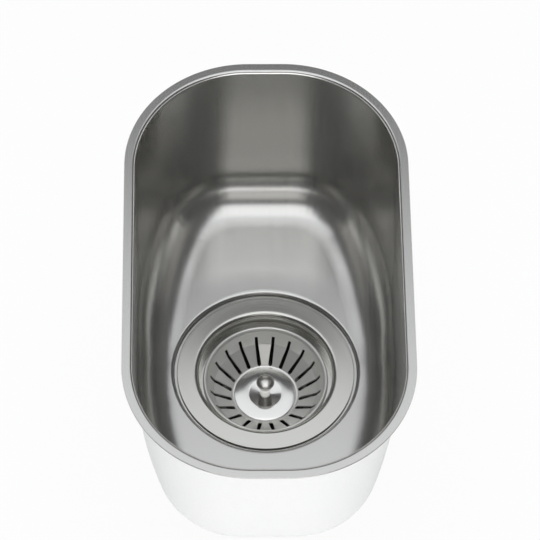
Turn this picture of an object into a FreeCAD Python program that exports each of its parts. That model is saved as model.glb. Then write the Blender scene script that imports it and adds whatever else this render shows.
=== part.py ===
import FreeCAD, Part
import math
import os
import Sketcher

# Undermount kitchen sink: a pressed steel bowl with a lift-out basket waste in its floor.
# The origin is the middle of the mouth on the rim's top face, X runs across, Y from front to back, Z up.

doc = FreeCAD.newDocument("undermount_sink")
Vector = FreeCAD.Vector

# Driving dimensions, in millimetres and whole counts.
SIZES = {
    # bowl
    "mouth_width": 164,
    "mouth_length": 290,
    "mouth_side_straight": 148,
    "mouth_end_straight": 22,
    "rim_land": 7,
    "lip_radius": 2.4,
    "bowl_sheet": 1,
    "bowl_depth": 118,
    "floor_margin": 0.3,
    "floor_length": 266,
    "floor_side_straight": 2,
    "floor_end_straight": 36,
    "floor_radius": 21.5,
    "seat_depth": 3.5,
    "seat_edge_round": 2.4,
    "seat_foot_round": 1.2,
    "waste_hole_gap": 1,
    "waste_advance": 5,
    # damping pads under the floor
    "sound_pad_width": 52,
    "sound_pad_length": 36,
    "sound_pad_thickness": 3,
    "sound_pad_corner": 6,
    "sound_pad_margin": 7,
    # seals of the waste
    "flange_gasket_thickness": 1,
    "flange_gasket_inset": 2,
    "lower_gasket_thickness": 3,
    "lower_gasket_gap": 3.8,
    # strainer cup
    "cup_sheet": 1,
    "flange_width": 13,
    "flange_gap": 3,
    "flange_edge_round": 0.4,
    "flange_fall": 0.4,
    "throat_gap": 2.7,
    "throat_round": 3,
    "throat_depth": 11.4,
    "cup_taper": 2.8,
    "cup_foot_round": 5,
    "drain_hole_count": 6,
    "drain_hole_radius": 5,
    "drain_ring_radius": 14.2,
    "hub_radius": 7.4,
    "hub_slope": 1.2,
    # basket
    "basket_sheet": 0.8,
    "basket_rim_radius": 40.3,
    "bead_radius": 1.2,
    "basket_depth": 19.9,
    "flat_round": 3,
    "cone_run": 11.8,
    "cone_rise": 9.1,
    "cone_round": 1.6,
    "slot_count": 20,
    "slot_inner_width": 2.6,
    "slot_outer_width": 1.7,
    "slot_margin": 1.6,
    "slot_bridge": 3.7,
    # polished cap on the basket
    "cap_radius": 20.2,
    "cap_margin": 1.3,
    "cap_edge": 0.7,
    "cap_crest_radius": 13.5,
    "cap_crest": 2.2,
    "cap_crest_round": 4,
    "cap_dimple": 0.3,
    # stem, knob and bush
    "stem_radius": 3.1,
    "stem_tail_radius": 2.5,
    "stem_tail": 0.5,
    "stem_reach": 10.4,
    "knob_radius": 5.85,
    "knob_bowl": 5,
    "knob_bowl_arc": 6.2,
    "knob_crown": 1.9,
    "knob_edge_round": 0.5,
    "knob_socket_radius": 2,
    "knob_socket_depth": 3.4,
    "bush_radius": 5.4,
    "bush_length": 7,
    "bush_flange_radius": 8,
    "bush_flange_thickness": 1.2,
    "grip_ring_wire": 0.7,
    "grip_ring_drop": 3,
    # plug under the basket
    "plug_gap": 0.5,
    "plug_travel": 7,
    "plate_radius": 15,
    "plate_thickness": 1.5,
    "seal_radius": 25,
    "seal_thickness": 3,
    "seal_lip_depth": 4,
    "seal_lip_width": 3.2,
    "plug_washer_radius": 9,
    "plug_washer_thickness": 0.8,
    "stem_nut_flats": 8,
    "stem_nut_height": 2.5,
    # centre bolt
    "bolt_radius": 3,
    "bolt_head_radius": 6,
    "bolt_head_height": 2.5,
    "bolt_head_round": 1,
    "bolt_slot_width": 1.4,
    "bolt_slot_depth": 1.2,
    "bolt_washer_radius": 6.8,
    "bolt_washer_thickness": 1,
    "bolt_tail": 1,
    # moulded waste body
    "body_wall": 3,
    "body_flange_thickness": 4.5,
    "body_flange_inset": 0.5,
    "body_throat_gap": 2,
    "body_taper": 4,
    "body_cup_gap": 6,
    "body_floor_drop": 6,
    "outlet_radius": 23.9,
    "outlet_wall": 3.9,
    "outlet_length": 24,
    "outlet_collar": 3,
    "spider_arm_count": 4,
    "spider_arm_width": 3.6,
    "spider_arm_height": 8,
    "spider_hub_wall": 3,
    "spider_hub_height": 12,
    "spider_gap": 1.5,
    "insert_radius": 5,
    "insert_length": 10,
    "rib_count": 12,
    "rib_thickness": 2.5,
    "rib_height": 18,
    # clearances
    "rest_gap": 0.3,
    "side_gap": 0.6,
    "slide_fit": 0.05,
    "loose_fit": 0.2,
    "bolt_gap": 1,
}

sheet = doc.addObject("Spreadsheet::Sheet", "Sizes")
for row, (alias, number) in enumerate(SIZES.items(), 1):
    sheet.set(f"A{row}", alias)
    sheet.set(f"B{row}", str(number))
    sheet.setAlias(f"B{row}", alias)
doc.recompute()


class Size:
    """A length and the sheet expression that drives it."""

    def __init__(self, value, text):
        self.value = value
        self.text = text

    def joined(self, sign, other, value):
        text = other.text if isinstance(other, Size) else repr(other)
        return Size(value, f"({self.text} {sign} {text})")

    def __add__(self, other):
        return self.joined("+", other, self.value + number_of(other))

    def __sub__(self, other):
        return self.joined("-", other, self.value - number_of(other))

    def __mul__(self, other):
        return self.joined("*", other, self.value * number_of(other))

    def __truediv__(self, other):
        return self.joined("/", other, self.value / number_of(other))

    def __neg__(self):
        return Size(-self.value, f"(-{self.text})")


def number_of(length):
    return length.value if isinstance(length, Size) else length


class Sheet:
    """The sheet's cells by name, as sizes."""

    def __getattr__(self, alias):
        return Size(float(SIZES[alias]), f"Sizes.{alias}")


s = Sheet()
AXIS = Size(0.0, "0")

# Levels, worked downwards from the rim's top face at zero.
floor_level = -s.bowl_depth
floor_underside = floor_level - s.bowl_sheet
seat_level = floor_level - s.seat_depth
seat_underside = seat_level - s.bowl_sheet
flange_underside = seat_level + s.flange_gasket_thickness
flange_top = flange_underside + s.cup_sheet
flange_edge = flange_top - s.flange_fall
ledge_level = flange_top - s.throat_depth
bead_bottom = ledge_level + s.rest_gap
bead_middle = bead_bottom + s.bead_radius
bead_top = bead_middle + s.bead_radius
basket_floor = bead_top - s.basket_depth
basket_underside = basket_floor - s.basket_sheet
cone_level = basket_floor + s.cone_rise
cap_dimple_level = basket_floor + s.cap_dimple
knob_bottom = cap_dimple_level + s.stem_reach
bush_bottom = basket_floor - s.bush_length
plate_top = bush_bottom - s.plug_gap
plate_underside = plate_top - s.plate_thickness
seal_underside = plate_underside - s.seal_thickness
lip_bottom = seal_underside - s.seal_lip_depth
plug_washer_underside = seal_underside - s.plug_washer_thickness
stem_nut_underside = plug_washer_underside - s.stem_nut_height
stem_end = stem_nut_underside - s.stem_tail
cup_floor = lip_bottom - s.plug_travel - s.rest_gap
cup_underside = cup_floor - s.cup_sheet
bolt_head_top = stem_end - s.plug_travel - s.bolt_gap
bolt_head_seat = bolt_head_top - s.bolt_head_height
hub_level = bolt_head_seat - s.bolt_washer_thickness
hub_underside = hub_level - s.cup_sheet
body_top = seat_underside - s.lower_gasket_thickness
body_flange_underside = body_top - s.body_flange_thickness
body_floor = cup_underside - s.body_cup_gap
bore_top = body_floor - s.body_floor_drop
outlet_end = bore_top - s.outlet_length
spider_top = hub_underside - s.spider_gap
insert_bottom = spider_top - s.insert_length
bolt_end = insert_bottom - s.bolt_tail

# Radii that several pieces share.
basket_flat_radius = s.cap_radius + s.cap_margin
cone_radius = basket_flat_radius + s.cone_run
basket_rim_inner = s.basket_rim_radius - s.bead_radius * 2
ledge_radius = basket_rim_inner + s.basket_sheet + s.side_gap
cup_foot_radius = ledge_radius - s.cup_taper
throat_radius = s.basket_rim_radius + s.throat_gap
stem_bore = s.stem_radius + s.slide_fit
tail_bore = s.stem_tail_radius + s.slide_fit
bolt_bore = s.bolt_radius + s.loose_fit
cup_outer_radius = throat_radius + s.cup_sheet
flange_radius = cup_outer_radius + s.flange_width
seat_radius = flange_radius + s.flange_gap
floor_width = (seat_radius + s.floor_radius + s.floor_margin) * 2
throat_underside_round = s.throat_round - s.cup_sheet
waste_hole_radius = cup_outer_radius + s.waste_hole_gap
lower_gasket_inner = cup_outer_radius + s.lower_gasket_gap
body_flange_radius = flange_radius - s.body_flange_inset
lower_gasket_outer = body_flange_radius - s.loose_fit
body_inner_radius = cup_outer_radius + s.body_throat_gap
outlet_bore = s.outlet_radius - s.outlet_wall


def new_body(label):
    body = doc.addObject("PartDesign::Body", label)
    body.Label = label
    return body


def origin_plane(body, role):
    return [feature for feature in body.Origin.OriginFeatures if feature.Role == role][0]


def new_sketch(body, name, role, level=None, turn=0.0):
    """An empty sketch on an origin plane of the body, raised to a level and turned about its normal."""
    sketch = body.newObject("Sketcher::SketchObject", f"{body.Label}_{name}")
    sketch.AttachmentSupport = (origin_plane(body, role), [""])
    sketch.MapMode = "FlatFace"
    height = level.value if level else 0.0
    rotation = FreeCAD.Rotation(Vector(0, 0, 1), turn)
    sketch.AttachmentOffset = FreeCAD.Placement(Vector(0, 0, height), rotation)
    if level:
        sketch.setExpression("AttachmentOffset.Base.z", level.text)
    return sketch


def constrain(sketch, kind, *items):
    """Add a constraint whose last item may be a size, which then drives it from the sheet."""
    driver = items[-1] if isinstance(items[-1], Size) else None
    if driver:
        items = items[:-1] + (driver.value,)
    index = sketch.addConstraint(Sketcher.Constraint(kind, *items))
    if driver:
        sketch.setExpression(f"Constraints[{index}]", driver.text)


ORIGIN = (-1, 1)
HORIZONTAL_AXIS = ORIGIN[0]
VERTICAL_AXIS = HORIZONTAL_AXIS - 1


def pin_point(sketch, element, end, across, up):
    """Hold one point of a sketch at two signed distances from the origin."""
    for kind, length in (("DistanceX", across), ("DistanceY", up)):
        if length.value > 0:
            constrain(sketch, kind, *ORIGIN, element, end, length)
        elif length.value < 0:
            constrain(sketch, kind, element, end, *ORIGIN, -length)
        elif kind == "DistanceX":
            constrain(sketch, "PointOnObject", element, end, VERTICAL_AXIS)
        else:
            constrain(sketch, "PointOnObject", element, end, HORIZONTAL_AXIS)


def arc_between(start, end, radius):
    """The short arc from start to end: centre on the left for a positive radius, else on the right."""
    middle = (start + end) * 0.5
    chord = end - start
    left = Vector(-chord.y, chord.x, 0).normalize()
    offset = math.sqrt(radius * radius - chord.Length * chord.Length / 4)
    centre = middle + left * math.copysign(offset, radius)
    first, last = (start, end) if radius > 0 else (end, start)
    angles = [math.atan2(point.y - centre.y, point.x - centre.x) for point in (first, last)]
    return Part.ArcOfCircle(Part.Circle(centre, Vector(0, 0, 1), abs(radius)), *angles)


def draw_outline(sketch, outline):
    """Draw a closed outline of (across, up) corners, with a third item where an arc leads to a corner."""
    corners = [Vector(corner[0].value, corner[1].value, 0) for corner in outline]
    ends = []
    for index, corner in enumerate(outline):
        start, end = corners[index - 1], corners[index]
        if len(corner) == 3:
            arc_radius = corner[2]
            element = sketch.addGeometry(arc_between(start, end, arc_radius.value))
            ends.append((element, 1, 2) if arc_radius.value > 0 else (element, 2, 1))
        else:
            element = sketch.addGeometry(Part.LineSegment(start, end))
            ends.append((element, 1, 2))
    for index, corner in enumerate(outline):
        element, _, last = ends[index]
        following, first, _ = ends[(index + 1) % len(outline)]
        constrain(sketch, "Coincident", element, last, following, first)
        pin_point(sketch, element, last, corner[0], corner[1])
        if len(corner) == 3:
            size = corner[2] if corner[2].value > 0 else -corner[2]
            constrain(sketch, "Radius", element, size)


def round_edges(body, base, name, edges, radius):
    fillet = body.newObject("PartDesign::Fillet", f"{body.Label}_{name}")
    fillet.Base = (base, edges)
    fillet.Radius = radius.value
    fillet.setExpression("Radius", radius.text)
    doc.recompute()
    return fillet


NEAR = 1e-4
FULL_TURN = 360.0


def ring_edges(shape, rings):
    """Names of the full circles about Z with the given (radius, level) pairs."""
    names = []
    for index, edge in enumerate(shape.Edges, 1):
        if edge.Degenerated or not isinstance(edge.Curve, Part.Circle):
            continue
        for radius, level in rings:
            same_radius = abs(edge.Curve.Radius - radius.value) < NEAR
            if same_radius and abs(edge.Curve.Center.z - level.value) < NEAR:
                names.append(f"Edge{index}")
    return names


def level_edges(shape, level, half_width=None, half_length=None):
    """Names of the edges that lie flat at one level, all of them or those inside a box about the origin."""
    names = []
    for index, edge in enumerate(shape.Edges, 1):
        box = edge.BoundBox
        flat = abs(box.ZMin - level.value) < NEAR and abs(box.ZMax - level.value) < NEAR
        inside = half_width is None or (
            max(-box.XMin, box.XMax) < half_width.value and max(-box.YMin, box.YMax) < half_length.value
        )
        if flat and inside:
            names.append(f"Edge{index}")
    return names


def upright_edges(shape):
    """Names of the straight edges along Z."""
    names = []
    for index, edge in enumerate(shape.Edges, 1):
        start, end = edge.Vertexes[0].Point, edge.Vertexes[-1].Point
        if math.hypot(end.x - start.x, end.y - start.y) < NEAR:
            names.append(f"Edge{index}")
    return names


def turn_profile(body, name, outline, kind="PartDesign::Revolution", advance=None):
    """Turn an outline about an upright axis, which may stand in front of the body's origin."""
    sketch = new_sketch(body, f"{name}_profile", "XZ_Plane", advance)
    draw_outline(sketch, outline)
    feature = body.newObject(kind, f"{body.Label}_{name}")
    feature.Profile = sketch
    feature.ReferenceAxis = (sketch, ["V_Axis"])
    feature.Angle = FULL_TURN
    doc.recompute()
    return feature


def turned(label, outline, rounds=()):
    """A piece turned about Z, with (radius, rings) rounds on its circular edges."""
    body = new_body(label)
    feature = turn_profile(body, "turned", outline)
    for order, (radius, rings) in enumerate(rounds):
        feature = round_edges(body, feature, f"round_{order}", ring_edges(feature.Shape, rings), radius)
    return body


def ring(label, inner, outer, bottom, top):
    return turned(label, [(inner, bottom), (outer, bottom), (outer, top), (inner, top)])


def pocket_down(body, sketch, depth=None):
    """Cut a sketch downwards, through everything or to a depth."""
    before = body.Tip.Shape.Volume
    pocket = body.newObject("PartDesign::Pocket", f"{sketch.Name}_cut")
    pocket.Profile = sketch
    if depth:
        pocket.Length = depth.value
        pocket.setExpression("Length", depth.text)
    else:
        pocket.Type = "ThroughAll"
    doc.recompute()
    if not pocket.Shape.Volume < before:
        raise RuntimeError(f"{pocket.Name} cuts nothing")
    return pocket


def pad_sketch(body, sketch, length, reverse=False, symmetric=False):
    pad = body.newObject("PartDesign::Pad", f"{sketch.Name}_pad")
    pad.Profile = sketch
    pad.Length = length.value
    pad.setExpression("Length", length.text)
    pad.Reversed = reverse
    if symmetric:
        pad.SideType = "Symmetric"
    doc.recompute()
    return pad


def repeat_round(body, feature, axis, count):
    pattern = body.newObject("PartDesign::PolarPattern", f"{feature.Name}_ring")
    pattern.Originals = [feature]
    pattern.Axis = axis
    pattern.Angle = FULL_TURN
    pattern.Occurrences = int(count.value)
    pattern.setExpression("Occurrences", count.text)
    body.Tip = pattern
    doc.recompute()
    return pattern


CORNER_SPLIT = math.radians(22)
QUARTER_TURN = math.pi / 2


def oval_sketch(body, name, level, width, length, side_straight, end_straight):
    """A rounded outline: four straights joined by corners of two tangent arcs, a side arc and an end arc."""
    sketch = new_sketch(body, name, "XY_Plane", level)
    across, along = width / 2, length / 2
    side, end = side_straight / 2, end_straight / 2
    a, b, c, d = across.value, along.value, side.value, end.value
    cosine, sine = math.cos(CORNER_SPLIT), math.sin(CORNER_SPLIT)
    spread = 1 - cosine - sine
    side_arc = ((a - d) * (1 - sine) - (b - c) * cosine) / spread
    end_arc = ((b - c) * (1 - cosine) - (a - d) * sine) / spread

    def straight(x0, y0, x1, y1):
        return Part.LineSegment(Vector(x0, y0, 0), Vector(x1, y1, 0))

    def arc(x, y, radius, first, last):
        return Part.ArcOfCircle(Part.Circle(Vector(x, y, 0), Vector(0, 0, 1), radius), first, last)

    side_x, end_y = a - side_arc, b - end_arc
    half_turn, full_turn = 2 * QUARTER_TURN, 4 * QUARTER_TURN
    sketch.addGeometry([
        straight(a, -c, a, c),
        arc(side_x, c, side_arc, 0, CORNER_SPLIT),
        arc(d, end_y, end_arc, CORNER_SPLIT, QUARTER_TURN),
        straight(d, b, -d, b),
        arc(-d, end_y, end_arc, QUARTER_TURN, half_turn - CORNER_SPLIT),
        arc(-side_x, c, side_arc, half_turn - CORNER_SPLIT, half_turn),
        straight(-a, c, -a, -c),
        arc(-side_x, -c, side_arc, half_turn, half_turn + CORNER_SPLIT),
        arc(-d, -end_y, end_arc, half_turn + CORNER_SPLIT, 3 * QUARTER_TURN),
        straight(-d, -b, d, -b),
        arc(d, -end_y, end_arc, 3 * QUARTER_TURN, full_turn - CORNER_SPLIT),
        arc(side_x, -c, side_arc, full_turn - CORNER_SPLIT, full_turn),
    ], False)
    count = sketch.GeometryCount
    for index in range(count):
        constrain(sketch, "Tangent", index, 2, (index + 1) % count, 1)
    right, back, left, front = 0, 3, 6, 9
    for side_corner in (right + 1, left - 1, left + 1, count - 1):
        constrain(sketch, "Angle", side_corner, CORNER_SPLIT)
    for line, kind in ((right, "Vertical"), (left, "Vertical"), (back, "Horizontal"), (front, "Horizontal")):
        constrain(sketch, kind, line)
    pin_point(sketch, right, 2, across, side)
    constrain(sketch, "DistanceY", right, 1, *ORIGIN, side)
    pin_point(sketch, back, 1, end, along)
    constrain(sketch, "DistanceX", back, 2, *ORIGIN, end)
    pin_point(sketch, left, 1, -across, side)
    constrain(sketch, "DistanceY", left, 2, *ORIGIN, side)
    pin_point(sketch, front, 1, -end, -along)
    constrain(sketch, "DistanceX", *ORIGIN, front, 2, end)
    return sketch


def mouth_sketch(body, name, margin):
    """The outline of the bowl's mouth at rim level, widened all round by a margin."""
    width = s.mouth_width + margin * 2
    length = s.mouth_length + margin * 2
    return oval_sketch(body, name, None, width, length, s.mouth_side_straight, s.mouth_end_straight)


def floor_sketch(body, name, level, margin):
    """The oval that the walls aim at, widened all round by a margin."""
    width = floor_width + margin * 2
    length = s.floor_length + margin * 2
    return oval_sketch(body, name, level, width, length, s.floor_side_straight, s.floor_end_straight)


def make_bowl():
    """Pressed bowl: rim land, lofted wall, rounded floor, pressed seat and waste hole."""
    body = new_body("bowl")
    no_margin = AXIS

    rim = mouth_sketch(body, "rim_outline", s.rim_land)
    pad_sketch(body, rim, s.bowl_sheet, reverse=True)

    outside = body.newObject("PartDesign::AdditiveLoft", "bowl_outside")
    outside.Profile = mouth_sketch(body, "outside_mouth", s.bowl_sheet)
    outside.Sections = [floor_sketch(body, "outside_floor", floor_underside, s.bowl_sheet)]
    doc.recompute()

    inside = body.newObject("PartDesign::SubtractiveLoft", "bowl_inside")
    inside.Profile = mouth_sketch(body, "inside_mouth", no_margin)
    inside.Sections = [floor_sketch(body, "inside_floor", floor_level, no_margin)]
    doc.recompute()

    inner_edges = level_edges(inside.Shape, floor_level)
    hollow = round_edges(body, inside, "floor_round", inner_edges, s.floor_radius)
    outer_edges = level_edges(hollow.Shape, floor_underside)
    shell = round_edges(body, hollow, "underside_round", outer_edges, s.floor_radius + s.bowl_sheet)

    half_width = s.mouth_width / 2 + s.bowl_sheet * 2
    half_length = s.mouth_length / 2 + s.bowl_sheet * 2
    mouth_edges = level_edges(shell.Shape, AXIS, half_width, half_length)
    lip = round_edges(body, shell, "lip", mouth_edges, s.lip_radius)
    wall_edges = level_edges(lip.Shape, -s.bowl_sheet, half_width, half_length)
    round_edges(body, lip, "under_lip", wall_edges, s.lip_radius - s.bowl_sheet)

    seat_outer = seat_radius + s.bowl_sheet
    turn_profile(body, "seat", [
        (AXIS, seat_underside),
        (seat_outer, seat_underside),
        (seat_outer, floor_level),
        (AXIS, floor_level),
    ], advance=s.waste_advance)
    seat = turn_profile(body, "seat_hollow", [
        (AXIS, seat_underside - s.bowl_sheet),
        (waste_hole_radius, seat_underside - s.bowl_sheet),
        (waste_hole_radius, seat_level),
        (seat_radius, seat_level),
        (seat_radius, floor_level + s.bowl_sheet),
        (AXIS, floor_level + s.bowl_sheet),
    ], "PartDesign::Groove", s.waste_advance)
    seat_rounds = [
        ("seat_round", s.seat_edge_round, seat_radius, floor_level),
        ("seat_underside_round", s.seat_edge_round - s.bowl_sheet, seat_outer, floor_underside),
        ("seat_foot_round", s.seat_foot_round, seat_outer, seat_underside),
    ]
    for name, round_radius, ring_radius, level in seat_rounds:
        seat = round_edges(body, seat, name, ring_edges(seat.Shape, [(ring_radius, level)]), round_radius)
    return body


def make_sound_pad(label, side):
    """Damping pad glued under the flat floor, in front of or behind the waste."""
    body = new_body(label)
    sketch = new_sketch(body, "outline", "XY_Plane", floor_underside)
    near = seat_radius + s.bowl_sheet + s.sound_pad_margin
    far = near + s.sound_pad_length
    half = s.sound_pad_width / 2
    first, last = (near, far) if side > 0 else (-far, -near)
    low, high = first - s.waste_advance, last - s.waste_advance
    draw_outline(sketch, [(-half, low), (half, low), (half, high), (-half, high)])
    pad = pad_sketch(body, sketch, s.sound_pad_thickness, reverse=True)
    round_edges(body, pad, "corners", upright_edges(pad.Shape), s.sound_pad_corner)
    return body


def make_flange_gasket():
    inner = cup_outer_radius + throat_underside_round + s.loose_fit
    outer = flange_radius - s.flange_gasket_inset
    return ring("flange_gasket", inner, outer, seat_level, flange_underside)


def make_lower_gasket():
    return ring("lower_gasket", lower_gasket_inner, lower_gasket_outer, body_top, seat_underside)


def make_strainer_cup():
    """Pressed steel cup: flange, throat, basket ledge, tapered wall and drained foot with a sunk hub."""
    wall = s.cup_sheet
    foot = cup_foot_radius
    hub_top_radius = s.hub_radius + s.hub_slope
    body = turned("strainer_cup", [
        (flange_radius, flange_edge),
        (throat_radius, flange_top),
        (throat_radius, ledge_level),
        (ledge_radius, ledge_level),
        (foot, cup_floor),
        (hub_top_radius, cup_floor),
        (s.hub_radius, hub_level),
        (bolt_bore, hub_level),
        (bolt_bore, hub_underside),
        (s.hub_radius + wall, hub_underside),
        (hub_top_radius + wall, cup_underside),
        (foot + wall, cup_underside),
        (ledge_radius + wall, ledge_level - wall),
        (cup_outer_radius, ledge_level - wall),
        (cup_outer_radius, flange_underside),
        (flange_radius, flange_underside),
    ], [
        (s.throat_round, [(throat_radius, flange_top)]),
        (throat_underside_round, [(cup_outer_radius, flange_underside)]),
        (s.cup_foot_round, [(foot, cup_floor)]),
        (s.cup_foot_round + wall, [(foot + wall, cup_underside)]),
        (s.flange_edge_round, [(flange_radius, flange_edge), (ledge_radius, ledge_level)]),
    ])
    sketch = new_sketch(body, "drain_hole", "XY_Plane", cup_floor + wall)
    centre = Vector(s.drain_ring_radius.value, 0, 0)
    hole = sketch.addGeometry(Part.Circle(centre, Vector(0, 0, 1), s.drain_hole_radius.value))
    pin_point(sketch, hole, 3, s.drain_ring_radius, AXIS)
    constrain(sketch, "Radius", hole, s.drain_hole_radius)
    repeat_round(body, pocket_down(body, sketch), (sketch, ["N_Axis"]), s.drain_hole_count)
    return body


def make_waste_body():
    """Moulded body: clamping flange, tapered shell, threaded outlet, bolt spider and outer ribs."""
    foot_inner = body_inner_radius - s.body_taper
    foot_outer = foot_inner + s.body_wall
    top_outer = body_inner_radius + s.body_wall
    collar_radius = s.outlet_radius + s.outlet_collar
    collar_bottom = bore_top - s.body_wall
    body = new_body("waste_body")
    turn_profile(body, "shell", [
        (body_inner_radius, body_top),
        (foot_inner, body_floor),
        (outlet_bore, bore_top),
        (outlet_bore, outlet_end),
        (s.outlet_radius, outlet_end),
        (s.outlet_radius, collar_bottom),
        (collar_radius, collar_bottom),
        (foot_outer, body_floor - s.body_wall),
        (top_outer, body_flange_underside),
        (body_flange_radius, body_flange_underside),
        (body_flange_radius, body_top),
    ])

    hub_bore = s.insert_radius + s.slide_fit
    hub_outer = hub_bore + s.spider_hub_wall
    hub_bottom = spider_top - s.spider_hub_height
    arm_start = hub_bore + s.spider_hub_wall / 2
    arm_end = outlet_bore + s.outlet_wall / 2
    half_arm = s.spider_arm_width / 2
    arm_outline = new_sketch(body, "arm", "XY_Plane", hub_bottom)
    draw_outline(arm_outline, [
        (arm_start, -half_arm), (arm_end, -half_arm), (arm_end, half_arm), (arm_start, half_arm),
    ])
    arm = pad_sketch(body, arm_outline, s.spider_arm_height)
    repeat_round(body, arm, (arm_outline, ["N_Axis"]), s.spider_arm_count)
    turn_profile(body, "hub", [
        (hub_bore, hub_bottom), (hub_outer, hub_bottom), (hub_outer, spider_top), (hub_bore, spider_top),
    ])

    rib_inner = top_outer - s.body_wall / 2
    rib_foot = body_flange_underside - s.rib_height
    rib_outline = new_sketch(body, "rib", "XZ_Plane")
    draw_outline(rib_outline, [
        (rib_inner - s.body_taper / 2, rib_foot),
        (body_flange_radius - s.body_wall / 2, body_flange_underside),
        (rib_inner, body_flange_underside),
    ])
    rib = pad_sketch(body, rib_outline, s.rib_thickness, symmetric=True)
    repeat_round(body, rib, (rib_outline, ["V_Axis"]), s.rib_count)
    return body


def make_clamp_bolt():
    """Slotted centre bolt that draws the cup and the waste body together."""
    head = s.bolt_head_radius
    body = turned("clamp_bolt", [
        (AXIS, bolt_end),
        (s.bolt_radius, bolt_end),
        (s.bolt_radius, bolt_head_seat),
        (head, bolt_head_seat),
        (head, bolt_head_top),
        (AXIS, bolt_head_top),
    ], [(s.bolt_head_round, [(head, bolt_head_top)])])
    half_slot = s.bolt_slot_width / 2
    sketch = new_sketch(body, "slot", "XY_Plane", bolt_head_top)
    draw_outline(sketch, [(-head, -half_slot), (head, -half_slot), (head, half_slot), (-head, half_slot)])
    pocket_down(body, sketch, s.bolt_slot_depth)
    return body


def make_basket():
    """Slotted basket: beaded rim, steep wall, conical floor and a flat middle."""
    wall = s.basket_sheet
    rim = s.basket_rim_radius
    bead = s.bead_radius
    bush_hole = s.bush_radius + s.slide_fit
    body = turned("basket", [
        (bush_hole, basket_underside),
        (basket_flat_radius + wall, basket_underside),
        (cone_radius + wall, cone_level - wall),
        (basket_rim_inner + wall, bead_bottom),
        (rim, bead_bottom),
        (rim, bead_middle),
        (rim - bead, bead_top, bead),
        (basket_rim_inner, bead_middle, bead),
        (basket_rim_inner, bead_bottom),
        (cone_radius, cone_level),
        (basket_flat_radius, basket_floor),
        (bush_hole, basket_floor),
    ], [
        (s.cone_round, [(cone_radius, cone_level)]),
        (s.cone_round + wall, [(cone_radius + wall, cone_level - wall)]),
        (s.flat_round, [(basket_flat_radius, basket_floor)]),
        (s.flat_round + wall, [(basket_flat_radius + wall, basket_underside)]),
    ])
    half_step = FULL_TURN / s.slot_count.value / 2
    slot_top = bead_bottom - s.slot_bridge
    start = basket_flat_radius + s.slot_margin
    inner_half = s.slot_inner_width / 2
    outer_half = s.slot_outer_width / 2
    slot = new_sketch(body, "slot", "XY_Plane", slot_top, half_step)
    draw_outline(slot, [
        (start, -inner_half, inner_half),
        (rim, -outer_half),
        (rim, outer_half),
        (start, inner_half),
        (start - inner_half, AXIS, inner_half),
    ])
    repeat_round(body, pocket_down(body, slot), (slot, ["N_Axis"]), s.slot_count)
    return body


def arc_over(run, rise):
    """Radius of the arc that covers a run and a rise and ends level."""
    return (run * run + rise * rise) / (rise * 2)


def make_centre_cap():
    """Polished cap: low convex ring with a shallow dimple round the stem."""
    edge_level = basket_floor + s.cap_edge
    crest_level = basket_floor + s.cap_crest
    stem_hole = s.stem_radius + s.loose_fit
    shoulder = arc_over(s.cap_radius - s.cap_crest_radius, crest_level - edge_level)
    dimple = arc_over(s.cap_crest_radius - stem_hole, crest_level - cap_dimple_level)
    return turned("centre_cap", [
        (stem_hole, basket_floor),
        (s.cap_radius, basket_floor),
        (s.cap_radius, edge_level),
        (s.cap_crest_radius, crest_level, shoulder),
        (stem_hole, cap_dimple_level, -dimple),
    ], [(s.cap_crest_round, [(s.cap_crest_radius, crest_level)])])


def make_guide_bush():
    """Plastic bush in the basket's middle, with a groove for the grip ring."""
    flange_bottom = basket_underside - s.bush_flange_thickness
    groove_half = s.grip_ring_wire + s.slide_fit
    groove_level = basket_floor - s.grip_ring_drop
    groove_radius = stem_bore + groove_half * 2
    return turned("guide_bush", [
        (stem_bore, bush_bottom),
        (s.bush_radius, bush_bottom),
        (s.bush_radius, flange_bottom),
        (s.bush_flange_radius, flange_bottom),
        (s.bush_flange_radius, basket_underside),
        (s.bush_radius, basket_underside),
        (s.bush_radius, basket_floor),
        (stem_bore, basket_floor),
        (stem_bore, groove_level + groove_half),
        (groove_radius, groove_level + groove_half),
        (groove_radius, groove_level - groove_half),
        (stem_bore, groove_level - groove_half),
    ])


def make_grip_ring():
    """Rubber ring in the bush that grips the stem and holds the plug up or down."""
    torus = doc.addObject("Part::Torus", "grip_ring")
    torus.Label = "grip_ring"
    torus.setExpression("Radius1", (stem_bore + s.grip_ring_wire).text)
    torus.setExpression("Radius2", s.grip_ring_wire.text)
    torus.setExpression("Placement.Base.z", (basket_floor - s.grip_ring_drop).text)
    return torus


def make_pull_knob():
    """Turned knob: a rounded bowl under a low crown, with a socket for the stem."""
    widest = knob_bottom + s.knob_bowl
    top = widest + s.knob_crown
    socket = s.knob_socket_radius + s.slide_fit
    socket_top = knob_bottom + s.knob_socket_depth
    return turned("pull_knob", [
        (socket, knob_bottom),
        (s.stem_radius, knob_bottom),
        (s.knob_radius, widest, s.knob_bowl_arc),
        (AXIS, top, arc_over(s.knob_radius, s.knob_crown)),
        (AXIS, socket_top),
        (socket, socket_top),
    ], [(s.knob_edge_round, [(s.knob_radius, widest)])])


def make_stem():
    """Stem with a spigot for the knob above and a thinner tail for the plug below."""
    spigot_top = knob_bottom + s.knob_socket_depth - s.rest_gap
    return turned("stem", [
        (AXIS, stem_end),
        (s.stem_tail_radius, stem_end),
        (s.stem_tail_radius, plate_top),
        (s.stem_radius, plate_top),
        (s.stem_radius, knob_bottom),
        (s.knob_socket_radius, knob_bottom),
        (s.knob_socket_radius, spigot_top),
        (AXIS, spigot_top),
    ])


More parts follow.
